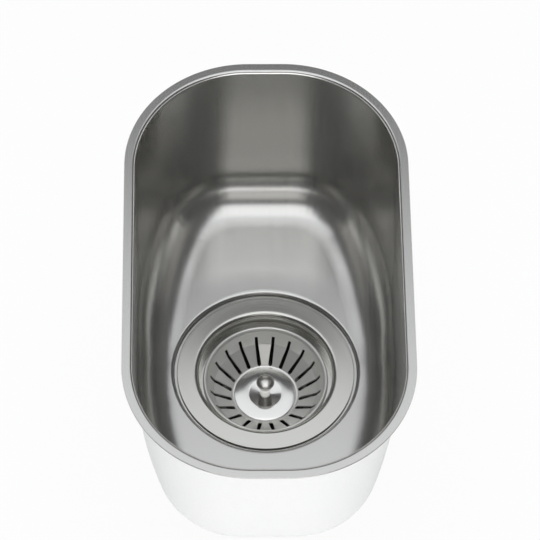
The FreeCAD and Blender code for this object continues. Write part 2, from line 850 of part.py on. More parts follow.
def make_plug_seal():
    """Rubber plug: a disc with a sloped shoulder and a lip that closes on the cup's floor."""
    lip_inner = s.seal_radius - s.seal_lip_width
    return turned("plug_seal", [
        (tail_bore, seal_underside),
        (lip_inner, seal_underside),
        (lip_inner, lip_bottom),
        (s.seal_radius, lip_bottom),
        (s.seal_radius, seal_underside),
        (lip_inner, plate_underside),
        (tail_bore, plate_underside),
    ])


HEXAGON_SIDE = math.tan(math.pi / 6)


def make_stem_nut():
    """Hexagon nut on the stem's tail."""
    body = new_body("stem_nut")
    sketch = new_sketch(body, "outline", "XY_Plane", stem_nut_underside)
    flat = s.stem_nut_flats / 2
    side = flat * HEXAGON_SIDE
    draw_outline(sketch, [
        (flat, -side), (flat, side), (AXIS, side * 2), (-flat, side), (-flat, -side), (AXIS, -side * 2),
    ])
    hole = sketch.addGeometry(Part.Circle(Vector(0, 0, 0), Vector(0, 0, 1), tail_bore.value))
    constrain(sketch, "Coincident", hole, 3, *ORIGIN)
    constrain(sketch, "Radius", hole, tail_bore)
    pad_sketch(body, sketch, s.stem_nut_height)
    return body


bowl_pieces = [
    make_bowl(),
    make_sound_pad("front_sound_pad", -1),
    make_sound_pad("rear_sound_pad", 1),
]
waste_pieces = [
    make_flange_gasket(),
    make_strainer_cup(),
    make_lower_gasket(),
    make_waste_body(),
    make_clamp_bolt(),
    ring("bolt_washer", bolt_bore, s.bolt_washer_radius, hub_level, bolt_head_seat),
    ring("insert_nut", s.bolt_radius + s.slide_fit, s.insert_radius, insert_bottom, spider_top),
    make_basket(),
    make_centre_cap(),
    make_guide_bush(),
    make_grip_ring(),
    make_pull_knob(),
    make_stem(),
    ring("plug_plate", tail_bore, s.plate_radius, plate_underside, plate_top),
    make_plug_seal(),
    ring("plug_washer", tail_bore, s.plug_washer_radius, plug_washer_underside, seal_underside),
    make_stem_nut(),
]
for piece in waste_pieces:
    piece.setExpression("Placement.Base.y", (-s.waste_advance).text)
pieces = bowl_pieces + waste_pieces
doc.recompute()

for item in doc.Objects:
    if {"Invalid", "Error"} & set(item.State):
        raise RuntimeError(f"{item.Label} failed to build")
for piece in pieces:
    if piece.Shape.isNull() or not piece.Shape.isValid() or len(piece.Shape.Solids) != 1:
        raise RuntimeError(f"{piece.Label} is not one valid solid")

os.makedirs("parts", exist_ok=True)
for piece in pieces:
    piece.Shape.exportStep(f"parts/{piece.Label}.step")
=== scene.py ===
from math import acos, asin, atan2, copysign, cos, pi, radians, sin, sqrt, tan

import bmesh
import bpy
from mathutils import Matrix, Vector


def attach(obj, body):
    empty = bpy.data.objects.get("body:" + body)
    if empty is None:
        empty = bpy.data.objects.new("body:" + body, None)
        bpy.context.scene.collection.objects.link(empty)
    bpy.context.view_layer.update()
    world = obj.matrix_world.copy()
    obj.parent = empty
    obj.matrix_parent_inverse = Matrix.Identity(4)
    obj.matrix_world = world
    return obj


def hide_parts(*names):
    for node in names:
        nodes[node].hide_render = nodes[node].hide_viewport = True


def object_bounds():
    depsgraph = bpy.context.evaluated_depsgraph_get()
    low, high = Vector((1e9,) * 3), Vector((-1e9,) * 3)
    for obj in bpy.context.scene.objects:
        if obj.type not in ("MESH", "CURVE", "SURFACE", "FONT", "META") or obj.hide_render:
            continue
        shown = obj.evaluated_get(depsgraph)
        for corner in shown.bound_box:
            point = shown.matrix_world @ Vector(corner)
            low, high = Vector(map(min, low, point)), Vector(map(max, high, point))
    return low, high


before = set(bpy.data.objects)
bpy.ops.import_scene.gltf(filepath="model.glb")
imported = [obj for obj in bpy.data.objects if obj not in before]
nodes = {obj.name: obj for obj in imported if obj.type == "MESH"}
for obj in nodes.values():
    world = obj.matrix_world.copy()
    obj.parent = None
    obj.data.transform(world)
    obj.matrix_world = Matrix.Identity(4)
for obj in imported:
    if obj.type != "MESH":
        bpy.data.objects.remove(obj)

cad_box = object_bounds()

# Bowl: one deep-drawn pressing of stainless sheet, satin finished inside and on the rim.
# The outside carries a pale sprayed coat against condensation. The walls run straight from the
# rounded mouth to a slimmer oval floor, which has a round pressed seat for the waste.
MM = 0.001
WASTE_CENTRE = Vector((0.0, -5.0))
MOUTH_OUTLINE = {"half_width": 82.0, "half_length": 145.0, "half_side": 74.0, "half_end": 11.0}
FLOOR_OUTLINE = {"half_width": 81.8, "half_length": 133.0, "half_side": 1.0, "half_end": 18.0}
CORNER_SPLIT = radians(22)
SIDE_STEPS, END_STEPS, SIDE_ARC_STEPS, END_ARC_STEPS = 16, 6, 14, 30
BOWL_SHEET, BOWL_DEPTH = 1.0, 118.0
FLOOR_RADIUS, REAR_FLOOR_RADIUS = 25.0, 29.5
ROUND_SPREAD = radians(10)
RIM_LAND, RIM_EDGE_BREAK, LIP_RADIUS = 7.0, 0.25, 2.4
SEAT_RADIUS, SEAT_LEVEL, SEAT_ROUND, SEAT_FOOT_ROUND = 58.6, -121.5, 2.4, 1.2
WASTE_HOLE = 45.0
WALL_ROWS, FILLET_ROWS, LIP_ROWS, ROUND_ROWS = 28, 18, 10, 6
FLOOR_SHARES = (0.03, 0.15, 0.3, 0.5, 0.7, 0.85, 0.97)
LAND_SUPPORT = 0.3
SEAT_FLAT = (WASTE_HOLE, SEAT_RADIUS - LAND_SUPPORT, SEAT_RADIUS)
BARE_FOOT_ROWS = ROUND_ROWS + 2
SHARP_EDGE = radians(32)
SATIN_LINES, DRAWN_WAVES = (1500.0, 14.0, 14.0), (70.0, 70.0, 3.0)


def heading(angle):
    return Vector((cos(angle), sin(angle)))


def even_steps(first, last, count):
    """Evenly spaced values from first to last, both included."""
    return [first + (last - first) * step / count for step in range(count + 1)]


def outline_columns(half_width, half_length, half_side, half_end):
    """Points round an oval of straights and two-arc corners, each with the direction that it faces."""
    cosine, sine = cos(CORNER_SPLIT), sin(CORNER_SPLIT)
    across, along = half_width - half_end, half_length - half_side
    spread = 1 - cosine - sine
    side_radius = (across * (1 - sine) - along * cosine) / spread
    end_radius = (along * (1 - cosine) - across * sine) / spread
    quarter = []
    for step in range(SIDE_STEPS):
        quarter.append((Vector((half_width, half_side * step / SIDE_STEPS)), 0.0))
    for angle in even_steps(0.0, CORNER_SPLIT, SIDE_ARC_STEPS)[:-1]:
        centre = Vector((half_width - side_radius, half_side))
        quarter.append((centre + heading(angle) * side_radius, angle))
    for angle in even_steps(CORNER_SPLIT, pi / 2, END_ARC_STEPS)[:-1]:
        centre = Vector((half_end, half_length - end_radius))
        quarter.append((centre + heading(angle) * end_radius, angle))
    for step in range(END_STEPS):
        quarter.append((Vector((half_end * (1 - step / END_STEPS), half_length)), pi / 2))
    loop = list(quarter)
    loop.append((Vector((0.0, half_length)), pi / 2))
    loop += [(Vector((-point.x, point.y)), pi - angle) for point, angle in reversed(quarter[1:])]
    loop.append((Vector((-half_width, 0.0)), pi))
    back = loop[1:-1]
    loop += [(Vector((point.x, -point.y)), -angle) for point, angle in reversed(back)]
    return loop


def floor_round(facing):
    """Radius between floor and wall, which grows from beside the waste towards the rear."""
    share = max(0.0, min(1.0, asin(facing.y) / ROUND_SPREAD))
    ease = share * share * (3 - 2 * share)
    return FLOOR_RADIUS + (REAR_FLOOR_RADIUS - FLOOR_RADIUS) * ease


def bowl_section(mouth, floor, facing):
    """One upright slice of the shell, from the waste hole over floor, wall and rim and back underneath."""
    along = Vector((-facing.y, facing.x))
    drift = (mouth - floor).dot(along) / BOWL_DEPTH
    floor_radius = floor_round(facing)

    def slice_point(base, outward, level, sideways=0.0):
        point = base + facing * outward + along * sideways
        return Vector((*point, level))

    def circle_point(radius, level):
        away = (floor - facing * floor_radius - WASTE_CENTRE).normalized()
        return Vector((*(WASTE_CENTRE + away * radius), level))

    def skin(margin, depth, radius):
        """Floor round of one skin, from the flat floor or the seat's brim up to the wall."""
        lean = atan2((mouth - floor).dot(facing), depth)
        centre = margin - radius * (1 - sin(lean)) / cos(lean)
        flat_reach = (floor + facing * centre - WASTE_CENTRE).length
        overlap = max(0.0, SEAT_RADIUS + SEAT_ROUND + LAND_SUPPORT - flat_reach)
        points = []
        for turn in even_steps(asin(overlap / radius), pi / 2 - lean, FILLET_ROWS):
            rise = radius * (1 - cos(turn))
            points.append(slice_point(floor, centre + radius * sin(turn), rise - depth, drift * rise))

        def lift(reach):
            """How high the floor round stands at a distance from the waste's axis."""
            past = max(0.0, reach - flat_reach)
            return radius - sqrt(radius * radius - past * past)

        return points, lean, lift

    fillet, lean, lift = skin(0.0, BOWL_DEPTH, floor_radius)
    inner = [circle_point(reach, SEAT_LEVEL) for reach in SEAT_FLAT]
    for turn in even_steps(0.0, pi / 2, ROUND_ROWS):
        reach = SEAT_RADIUS + SEAT_ROUND * (1 - cos(turn))
        inner.append(circle_point(reach, lift(reach) - BOWL_DEPTH - SEAT_ROUND * (1 - sin(turn))))
    brim = inner[-1]
    inner += [brim.lerp(fillet[0], share) for share in FLOOR_SHARES] + fillet
    lip_centre = LIP_RADIUS * (1 - sin(lean)) / cos(lean)
    lip = []
    for turn in even_steps(lean, pi / 2, LIP_ROWS):
        outward = lip_centre - LIP_RADIUS * cos(turn)
        lip.append(slice_point(mouth, outward, LIP_RADIUS * (sin(turn) - 1)))
    inner += [fillet[-1].lerp(lip[0], row / WALL_ROWS) for row in range(1, WALL_ROWS)] + lip
    rim_edge = (
        (lip_centre + LAND_SUPPORT, 0.0), (RIM_LAND - RIM_EDGE_BREAK, 0.0), (RIM_LAND, -RIM_EDGE_BREAK),
        (RIM_LAND, RIM_EDGE_BREAK - BOWL_SHEET), (RIM_LAND - RIM_EDGE_BREAK, -BOWL_SHEET),
    )
    inner += [slice_point(mouth, outward, level) for outward, level in rim_edge]

    outer_depth = BOWL_DEPTH + BOWL_SHEET
    outer_fillet, outer_lean, outer_lift = skin(BOWL_SHEET, outer_depth, floor_radius + BOWL_SHEET)
    under_radius = LIP_RADIUS - BOWL_SHEET
    under_centre = BOWL_SHEET + (under_radius - LIP_RADIUS * sin(outer_lean)) / cos(outer_lean)
    outer = []
    for turn in even_steps(pi / 2, outer_lean, ROUND_ROWS):
        outward = under_centre - under_radius * cos(turn)
        outer.append(slice_point(mouth, outward, under_radius * sin(turn) - LIP_RADIUS))
    outer_top = outer[-1]
    outer += [outer_top.lerp(outer_fillet[-1], row / WALL_ROWS) for row in range(1, WALL_ROWS)]
    outer += reversed(outer_fillet)
    seat_underside = SEAT_LEVEL - BOWL_SHEET
    seat_hollow = SEAT_ROUND - BOWL_SHEET
    seat_wall = []
    for turn in even_steps(pi / 2, 0.0, ROUND_ROWS):
        reach = SEAT_RADIUS + SEAT_ROUND - seat_hollow * cos(turn)
        brim_level = outer_lift(reach) - outer_depth
        seat_wall.append(circle_point(reach, brim_level - seat_hollow * (1 - sin(turn))))
    for turn in even_steps(0.0, pi / 2, ROUND_ROWS):
        reach = SEAT_RADIUS + BOWL_SHEET - SEAT_FOOT_ROUND * (1 - cos(turn))
        seat_wall.append(circle_point(reach, seat_underside + SEAT_FOOT_ROUND * (1 - sin(turn))))
    outer += [outer_fillet[0].lerp(seat_wall[0], share) for share in FLOOR_SHARES] + seat_wall
    outer.append(circle_point(WASTE_HOLE, seat_underside))
    return inner, outer


def put_in_scene(name, data):
    thing = bpy.data.objects.new(name, data)
    bpy.context.scene.collection.objects.link(thing)
    return thing


def finish_mesh(name, mesh):
    """Smooth a mesh up to its sharp edges, and put it into the scene as an object at the origin."""
    mesh.polygons.foreach_set("use_smooth", [True] * len(mesh.polygons))
    mesh.set_sharp_from_angle(angle=SHARP_EDGE)
    mesh.update()
    return put_in_scene(name, mesh)


def grid_mesh(name, columns):
    """A mesh over columns of points, closed round the piece and along each column."""
    rows = len(columns[0])
    points = [point * MM for column in columns for point in column]
    faces = []
    for index in range(len(columns)):
        here, there = index * rows, (index + 1) % len(columns) * rows
        for row in range(rows):
            after = (row + 1) % rows
            faces.append((here + row, there + row, there + after, here + after))
    mesh = bpy.data.meshes.new(name)
    mesh.from_pydata(points, [], faces)
    return mesh


bowl_columns = []
mouth_loop = outline_columns(**MOUTH_OUTLINE)
floor_loop = outline_columns(**FLOOR_OUTLINE)
for (mouth_point, angle), (floor_point, _) in zip(mouth_loop, floor_loop):
    inner_rows, outer_rows = bowl_section(mouth_point, floor_point, heading(angle))
    bowl_columns.append(inner_rows + outer_rows)
bowl_mesh = grid_mesh("bowl_shell", bowl_columns)

# The grain runs up the walls, so each point keeps its place round the mouth on a circle of that length.
mouth_length = sum((mouth_loop[i][0] - mouth_loop[i - 1][0]).length for i in range(len(mouth_loop)))
grain_radius = mouth_length / (2 * pi) * MM
grain = bowl_mesh.attributes.new("grain", "FLOAT_VECTOR", "POINT")
grain_values = []
travelled = 0.0
for index, column in enumerate(bowl_columns):
    if index:
        travelled += (mouth_loop[index][0] - mouth_loop[index - 1][0]).length
    turn = travelled / mouth_length * 2 * pi
    for point in column:
        grain_values += [grain_radius * cos(turn), grain_radius * sin(turn), point.z * MM]
grain.data.foreach_set("vector", grain_values)
# How far a point belongs to the drawn walls, which are faintly wavy, and not to the floor or the rim.
wall_foot_row = len(SEAT_FLAT) + ROUND_ROWS + 1 + len(FLOOR_SHARES)
wall_top_row = wall_foot_row + FILLET_ROWS + WALL_ROWS
wall_share = []
for row in range(len(bowl_columns[0])):
    rising = (row - wall_foot_row) / FILLET_ROWS
    falling = (wall_top_row - row) / LIP_ROWS
    wall_share.append(max(0.0, min(1.0, rising, falling)))
drawn = bowl_mesh.attributes.new("drawn", "FLOAT", "POINT")
drawn.data.foreach_set("value", wall_share * len(bowl_columns))


def set_inputs(node, values):
    for socket, value in values.items():
        node.inputs[socket].default_value = value


def add_node(tree, kind, values):
    node = tree.nodes.new(kind)
    set_inputs(node, values)
    return node


def wire(tree, *links):
    for source, target in links:
        tree.links.new(source, target)


def streak_group():
    """Long fine lines along one direction of a pattern, from 0 to 1."""
    group = bpy.data.node_groups.new("drawn_streaks", "ShaderNodeTree")
    group.interface.new_socket("Vector", in_out="INPUT", socket_type="NodeSocketVector")
    group.interface.new_socket("Lines", in_out="INPUT", socket_type="NodeSocketVector")
    group.interface.new_socket("Streaks", in_out="OUTPUT", socket_type="NodeSocketFloat")
    entry = group.nodes.new("NodeGroupInput")
    leave = group.nodes.new("NodeGroupOutput")
    scaled = group.nodes.new("ShaderNodeVectorMath")
    scaled.operation = "MULTIPLY"
    noise = add_node(group, "ShaderNodeTexNoise", {"Scale": 1.0, "Detail": 2.0, "Roughness": 0.62})
    stretch = add_node(group, "ShaderNodeMapRange", {"From Min": 0.3, "From Max": 0.7})
    wire(
        group,
        (entry.outputs["Vector"], scaled.inputs[0]),
        (entry.outputs["Lines"], scaled.inputs[1]),
        (scaled.outputs["Vector"], noise.inputs["Vector"]),
        (noise.outputs["Fac"], stretch.inputs["Value"]),
        (stretch.outputs["Result"], leave.inputs["Streaks"]),
    )
    return group


drawn_streaks = streak_group()


def new_material(name):
    material = bpy.data.materials.new(name)
    material.use_nodes = True
    return material, material.node_tree, material.node_tree.nodes["Principled BSDF"]


def toned(tree, shader, value, dark, pale):
    """Colour between two tones by a value from 0 to 1."""
    ramp = tree.nodes.new("ShaderNodeMix")
    ramp.data_type = "RGBA"
    set_inputs(ramp, {"A": (*dark, 1.0), "B": (*pale, 1.0)})
    wire(tree, (value, ramp.inputs["Factor"]), (ramp.outputs["Result"], shader.inputs["Base Color"]))


def roughened(tree, shader, value, smooth, rough):
    """Roughness between two limits by a value from 0 to 1."""
    stretch = add_node(tree, "ShaderNodeMapRange", {"To Min": smooth, "To Max": rough})
    wire(tree, (value, stretch.inputs["Value"]), (stretch.outputs["Result"], shader.inputs["Roughness"]))


def add_bump(tree, shader, height, strength, depth):
    bump = add_node(tree, "ShaderNodeBump", {"Strength": strength, "Distance": depth})
    wire(tree, (height, bump.inputs["Height"]), (bump.outputs["Normal"], shader.inputs["Normal"]))


def put_streaks(tree, vector, lines):
    streaks = tree.nodes.new("ShaderNodeGroup")
    streaks.node_tree = drawn_streaks
    set_inputs(streaks, {"Lines": lines})
    wire(tree, (vector, streaks.inputs["Vector"]))
    return streaks.outputs["Streaks"]


def put_specks(tree, scale, detail, kind="ShaderNodeTexNoise", output="Fac"):
    """Fine specks on the piece's own coordinates."""
    place = tree.nodes.new("ShaderNodeTexCoord")
    specks = add_node(tree, kind, {"Scale": scale, "Detail": detail})
    wire(tree, (place.outputs["Object"], specks.inputs["Vector"]))
    return specks.outputs[output]


bowl_steel, tree, shader = new_material("bowl_steel")
set_inputs(shader, {"Metallic": 1.0})
grain_source = tree.nodes.new("ShaderNodeAttribute")
grain_source.attribute_name = "grain"
drawn_source = tree.nodes.new("ShaderNodeAttribute")
drawn_source.attribute_name = "drawn"
place = tree.nodes.new("ShaderNodeTexCoord")
satin = put_streaks(tree, place.outputs["Object"], SATIN_LINES)
toned(tree, shader, satin, dark=(0.63, 0.627, 0.61), pale=(0.66, 0.657, 0.64))
roughened(tree, shader, satin, smooth=0.23, rough=0.26)
waves = put_streaks(tree, grain_source.outputs["Vector"], DRAWN_WAVES)
wave_height = tree.nodes.new("ShaderNodeMath")
wave_height.operation = "MULTIPLY"
wire(tree, (waves, wave_height.inputs[0]), (drawn_source.outputs["Fac"], wave_height.inputs[1]))
add_bump(tree, shader, wave_height.outputs["Value"], strength=0.18, depth=0.0006)

undercoat, tree, shader = new_material("bowl_undercoat")
set_inputs(shader, {"Roughness": 0.85})
spatter = put_specks(tree, scale=900.0, detail=3.0)
toned(tree, shader, spatter, dark=(0.88, 0.88, 0.87), pale=(0.94, 0.94, 0.93))
add_bump(tree, shader, spatter, strength=0.35, depth=0.0006)

bowl_mesh.materials.append(bowl_steel)
bowl_mesh.materials.append(undercoat)
section_rows = len(bowl_columns[0])
coat_first = len(inner_rows) + ROUND_ROWS
coat_last = section_rows - BARE_FOOT_ROWS
for face in bowl_mesh.polygons:
    row = min(vertex % section_rows for vertex in face.vertices)
    face.material_index = 1 if coat_first <= row < coat_last else 0
bowl = finish_mesh("bowl_shell", bowl_mesh)
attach(bowl, "sink")
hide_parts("bowl")


# Sound pads: two sheets of heavy damping compound, dark and softly pebbled, cut to shape.
# They are glued under the flat floor before and behind the waste, where they deaden the bowl.
def paint_node(node, material):
    """Give a node of the frame its finish."""
    nodes[node].data.materials.clear()
    nodes[node].data.materials.append(material)


damping, tree, shader = new_material("damping_sheet")
set_inputs(shader, {"Roughness": 0.9})
pebble = put_specks(tree, scale=600.0, detail=0.0, kind="ShaderNodeTexVoronoi", output="Distance")
toned(tree, shader, pebble, dark=(0.05, 0.05, 0.055), pale=(0.09, 0.09, 0.095))
add_bump(tree, shader, pebble, strength=0.5, depth=0.0005)
for pad in ("front_sound_pad", "rear_sound_pad"):
    paint_node(pad, damping)

# Gaskets: two flat rings of black rubber, cut from sheet.
# One lies under the waste's flange and one under the bowl's seat, and the centre bolt squeezes both.
TURN_STEPS = 192
LONG_RUN, SUPPORT_STEP = 2.0, 0.2
WELD_DISTANCE, LEAST_FACE = 1e-7, 1e-14
FLANGE_SEAL_BORE, FLANGE_SEAL_ROUND = 46.2, 0.2
SEAT_SEAL_BORE, SEAT_SEAL_ROUND = 47.8, 0.5


def softened(outline):
    """An outline with its rounded corners drawn as short arcs; a corner's third number is its radius."""
    points = []
    for index, corner in enumerate(outline):
        here = Vector(corner[:2])
        if len(corner) < 3:
            points.append(here)
            continue
        before = (Vector(outline[index - 1][:2]) - here).normalized()
        after = (Vector(outline[(index + 1) % len(outline)][:2]) - here).normalized()
        half = acos(max(-1.0, min(1.0, before.dot(after)))) / 2
        centre = here + (before + after).normalized() * corner[2] / sin(half)
        first = here + before * corner[2] / tan(half) - centre
        last = here + after * corner[2] / tan(half) - centre
        swing = first.angle_signed(last)
        for row in range(ROUND_ROWS + 1):
            points.append(centre + Matrix.Rotation(-swing * row / ROUND_ROWS, 2) @ first)
    return points


def supported(points):
    """A closed outline with a point near either end of each long run, so that flat faces look flat."""
    whole = []
    for index, point in enumerate(points):
        after = points[(index + 1) % len(points)]
        run = after - point
        whole.append(point)
        if run.length > LONG_RUN:
            step = run.normalized() * SUPPORT_STEP
            whole += [point + step, after - step]
    return whole


def node_span(node):
    """Radius, bottom and top of a turned node of the frame, in millimetres."""
    corners = [nodes[node].matrix_world @ Vector(corner) / MM for corner in nodes[node].bound_box]
    levels = [corner.z for corner in corners]
    return max(corner.x for corner in corners), min(levels), max(levels)


def turned_mesh(name, outline, steps=TURN_STEPS):
    """A closed outline of (radius, level) corners turned about the waste's axis."""
    points = supported(softened(outline))
    columns = []
    for step in range(steps):
        facing = heading(2 * pi * step / steps)
        columns.append([Vector((*(WASTE_CENTRE + facing * point.x), point.y)) for point in points])
    mesh = grid_mesh(name, columns)
    shell = bmesh.new()
    shell.from_mesh(mesh)
    bmesh.ops.remove_doubles(shell, verts=shell.verts, dist=WELD_DISTANCE)
    loose = [face for face in shell.faces if face.calc_area() < LEAST_FACE]
    bmesh.ops.delete(shell, geom=loose, context="FACES")
    bmesh.ops.recalc_face_normals(shell, faces=shell.faces)
    shell.to_mesh(mesh)
    shell.free()
    return mesh


def ring_outline(bore, span, foot_round, top_round):
    """Section of a flat ring with the radius, bottom and top of its span."""
    radius, bottom, top = span
    return [(bore, bottom), (radius, bottom, foot_round), (radius, top, top_round), (bore, top)]


def turned_piece(name, node, body, outline, material):
    mesh = turned_mesh(name, outline)
    mesh.materials.append(material)
    piece = finish_mesh(name, mesh)
    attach(piece, body)
    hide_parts(node)


rubber, tree, shader = new_material("gasket_rubber")
set_inputs(shader, {"Specular IOR Level": 0.35})
bloom = put_specks(tree, scale=260.0, detail=5.0)
toned(tree, shader, bloom, dark=(0.016, 0.016, 0.016), pale=(0.04, 0.04, 0.04))
roughened(tree, shader, bloom, smooth=0.5, rough=0.8)
for name, node, bore, edge in (
    ("flange_seal", "flange_gasket", FLANGE_SEAL_BORE, FLANGE_SEAL_ROUND),
    ("seat_seal", "lower_gasket", SEAT_SEAL_BORE, SEAT_SEAL_ROUND),
):
    outline = ring_outline(bore, node_span(node), edge, edge)
    turned_piece(name, node, "sink", outline, rubber)

# Strainer cup: pressed from steel sheet with a broad flange, a deep throat and a ledge for the basket.
# Its foot has drain holes round a sunk hub, where the centre bolt pulls it down.
CUP_SHEET = 1.0
FLANGE_RADIUS, FLANGE_FALL, FLANGE_EDGE = 57.0, 0.4, 0.4
THROAT_RADIUS, THROAT_ROUND, THROAT_DEPTH = 43.0, 3.0, 11.4
LEDGE_RADIUS, LEDGE_ROUND, SHOULDER_ROUND = 39.3, 0.4, 0.6
CUP_FOOT, CUP_FOOT_ROUND = 36.5, 5.0
HUB_RADIUS, HUB_SLOPE, HUB_DROP, HUB_BORE, HUB_ROUND = 7.4, 1.2, 4.0, 3.2, 0.5
DRAIN_COUNT, DRAIN_RADIUS, DRAIN_RING, DRILL_REACH = 6, 5.0, 14.2, 3.0
CUTTER_STEPS = 48
SECTOR_WELD = 1e-6


def spread_round(name, count, piece_mesh, material):
    """Repeat a piece round the waste's axis and return the result as one plain mesh."""
    tree = bpy.data.node_groups.new(f"{name}_round", "GeometryNodeTree")
    tree.interface.new_socket("Geometry", in_out="INPUT", socket_type="NodeSocketGeometry")
    count_socket = tree.interface.new_socket("Count", in_out="INPUT", socket_type="NodeSocketInt")
    tree.interface.new_socket("Geometry", in_out="OUTPUT", socket_type="NodeSocketGeometry")
    entry = tree.nodes.new("NodeGroupInput")
    leave = tree.nodes.new("NodeGroupOutput")
    start = (*(WASTE_CENTRE * MM), 0.0)
    spots = add_node(tree, "GeometryNodeMeshLine", {"Offset": (0.0, 0.0, 0.0), "Start Location": start})
    order = tree.nodes.new("GeometryNodeInputIndex")
    share = tree.nodes.new("ShaderNodeMath")
    share.operation = "DIVIDE"
    angle = add_node(tree, "ShaderNodeMath", {1: 2 * pi})
    angle.operation = "MULTIPLY"
    turn = tree.nodes.new("ShaderNodeCombineXYZ")
    place = tree.nodes.new("GeometryNodeInstanceOnPoints")
    real = tree.nodes.new("GeometryNodeRealizeInstances")
    weld = add_node(tree, "GeometryNodeMergeByDistance", {"Distance": SECTOR_WELD})
    paint = add_node(tree, "GeometryNodeSetMaterial", {"Material": material})
    wire(
        tree,
        (entry.outputs["Count"], spots.inputs["Count"]),
        (order.outputs["Index"], share.inputs[0]),
        (entry.outputs["Count"], share.inputs[1]),
        (share.outputs["Value"], angle.inputs[0]),
        (angle.outputs["Value"], turn.inputs["Z"]),
        (spots.outputs["Mesh"], place.inputs["Points"]),
        (entry.outputs["Geometry"], place.inputs["Instance"]),
        (turn.outputs["Vector"], place.inputs["Rotation"]),
        (place.outputs["Instances"], real.inputs["Geometry"]),
        (real.outputs["Geometry"], weld.inputs["Geometry"]),
        (weld.outputs["Geometry"], paint.inputs["Geometry"]),
        (paint.outputs["Geometry"], leave.inputs["Geometry"]),
    )
    source = put_in_scene(f"{name}_one", piece_mesh)
    repeat = source.modifiers.new("round", "NODES")
    repeat.node_group = tree
    repeat[count_socket.identifier] = count
    view = bpy.context.evaluated_depsgraph_get()
    mesh = bpy.data.meshes.new_from_object(source.evaluated_get(view))
    mesh.name = name
    bpy.data.objects.remove(source)
    return mesh


def carve(mesh, cutter_mesh):
    """Cut one closed mesh out of another and return the result as a plain mesh."""
    base = put_in_scene("carved", mesh)
    cutter = put_in_scene("carver", cutter_mesh)
    cut = base.modifiers.new("cut", "BOOLEAN")
    cut.object = cutter
    cut.solver = "EXACT"
    view = bpy.context.evaluated_depsgraph_get()
    result = bpy.data.meshes.new_from_object(base.evaluated_get(view))
    bpy.data.objects.remove(base)
    bpy.data.objects.remove(cutter)
    return result


def turned_steel(name, dark, pale, smooth, rough, lines, metallic=1.0):
    """Bright metal with fine rings from turning, about the waste's axis."""
    material, tree, shader = new_material(name)
    set_inputs(shader, {"Metallic": metallic})
    place = tree.nodes.new("ShaderNodeTexCoord")
    parts = tree.nodes.new("ShaderNodeSeparateXYZ")
    shifted = add_node(tree, "ShaderNodeMath", {1: WASTE_CENTRE.y * MM})
    shifted.operation = "SUBTRACT"
    flat = tree.nodes.new("ShaderNodeCombineXYZ")
    reach = tree.nodes.new("ShaderNodeVectorMath")
    reach.operation = "LENGTH"
    polar = tree.nodes.new("ShaderNodeCombineXYZ")
    wire(
        tree,
        (place.outputs["Object"], parts.inputs["Vector"]),
        (parts.outputs["Y"], shifted.inputs[0]),
        (parts.outputs["X"], flat.inputs["X"]),
        (shifted.outputs["Value"], flat.inputs["Y"]),
        (flat.outputs["Vector"], reach.inputs[0]),
        (reach.outputs["Value"], polar.inputs["X"]),
        (parts.outputs["Z"], polar.inputs["Y"]),
    )
    rings = put_streaks(tree, polar.outputs["Vector"], (lines, lines, 1.0))
    toned(tree, shader, rings, dark, pale)
    roughened(tree, shader, rings, smooth, rough)
    add_bump(tree, shader, rings, strength=0.03, depth=0.0001)
    return material


waste_steel = turned_steel(
    "waste_steel", dark=(0.60, 0.595, 0.565), pale=(0.66, 0.655, 0.625),
    smooth=0.16, rough=0.24, lines=2600.0,
)
_, cup_bottom, flange_top = node_span("strainer_cup")
ledge_level = flange_top - THROAT_DEPTH
hub_level = cup_bottom + CUP_SHEET
cup_floor = hub_level + HUB_DROP
flange_under = flange_top - CUP_SHEET
ledge_under = ledge_level - CUP_SHEET
floor_under = cup_floor - CUP_SHEET
throat_outside = THROAT_RADIUS + CUP_SHEET
hub_brim = HUB_RADIUS + HUB_SLOPE
cup_outline = [
    (FLANGE_RADIUS, flange_top - FLANGE_FALL, FLANGE_EDGE), (THROAT_RADIUS, flange_top, THROAT_ROUND),
    (THROAT_RADIUS, ledge_level), (LEDGE_RADIUS, ledge_level, LEDGE_ROUND),
    (CUP_FOOT, cup_floor, CUP_FOOT_ROUND), (hub_brim, cup_floor, HUB_ROUND),
    (HUB_RADIUS, hub_level, HUB_ROUND), (HUB_BORE, hub_level),
    (HUB_BORE, cup_bottom), (HUB_RADIUS + CUP_SHEET, cup_bottom, HUB_ROUND),
    (hub_brim + CUP_SHEET, floor_under, HUB_ROUND),
    (CUP_FOOT + CUP_SHEET, floor_under, CUP_FOOT_ROUND + CUP_SHEET),
    (LEDGE_RADIUS + CUP_SHEET, ledge_under), (throat_outside, ledge_under, SHOULDER_ROUND),
    (throat_outside, flange_under, THROAT_ROUND - CUP_SHEET), (FLANGE_RADIUS, flange_under),
]
drill_bottom, drill_top = cup_floor - DRILL_REACH, cup_floor + DRILL_REACH
drill = turned_mesh("drain_drill", [
    (0.0, drill_bottom), (DRAIN_RADIUS, drill_bottom), (DRAIN_RADIUS, drill_top), (0.0, drill_top),
], CUTTER_STEPS)
drill.transform(Matrix.Translation((DRAIN_RING * MM, -WASTE_CENTRE.y * MM, 0.0)))
drills = spread_round("drain_drills", DRAIN_COUNT, drill, waste_steel)
cup_mesh = carve(turned_mesh("strainer_cup_shell", cup_outline), drills)
cup_mesh.materials.clear()
cup_mesh.materials.append(waste_steel)
cup = finish_mesh("strainer_cup_shell", cup_mesh)
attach(cup, "sink")
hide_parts("strainer_cup")

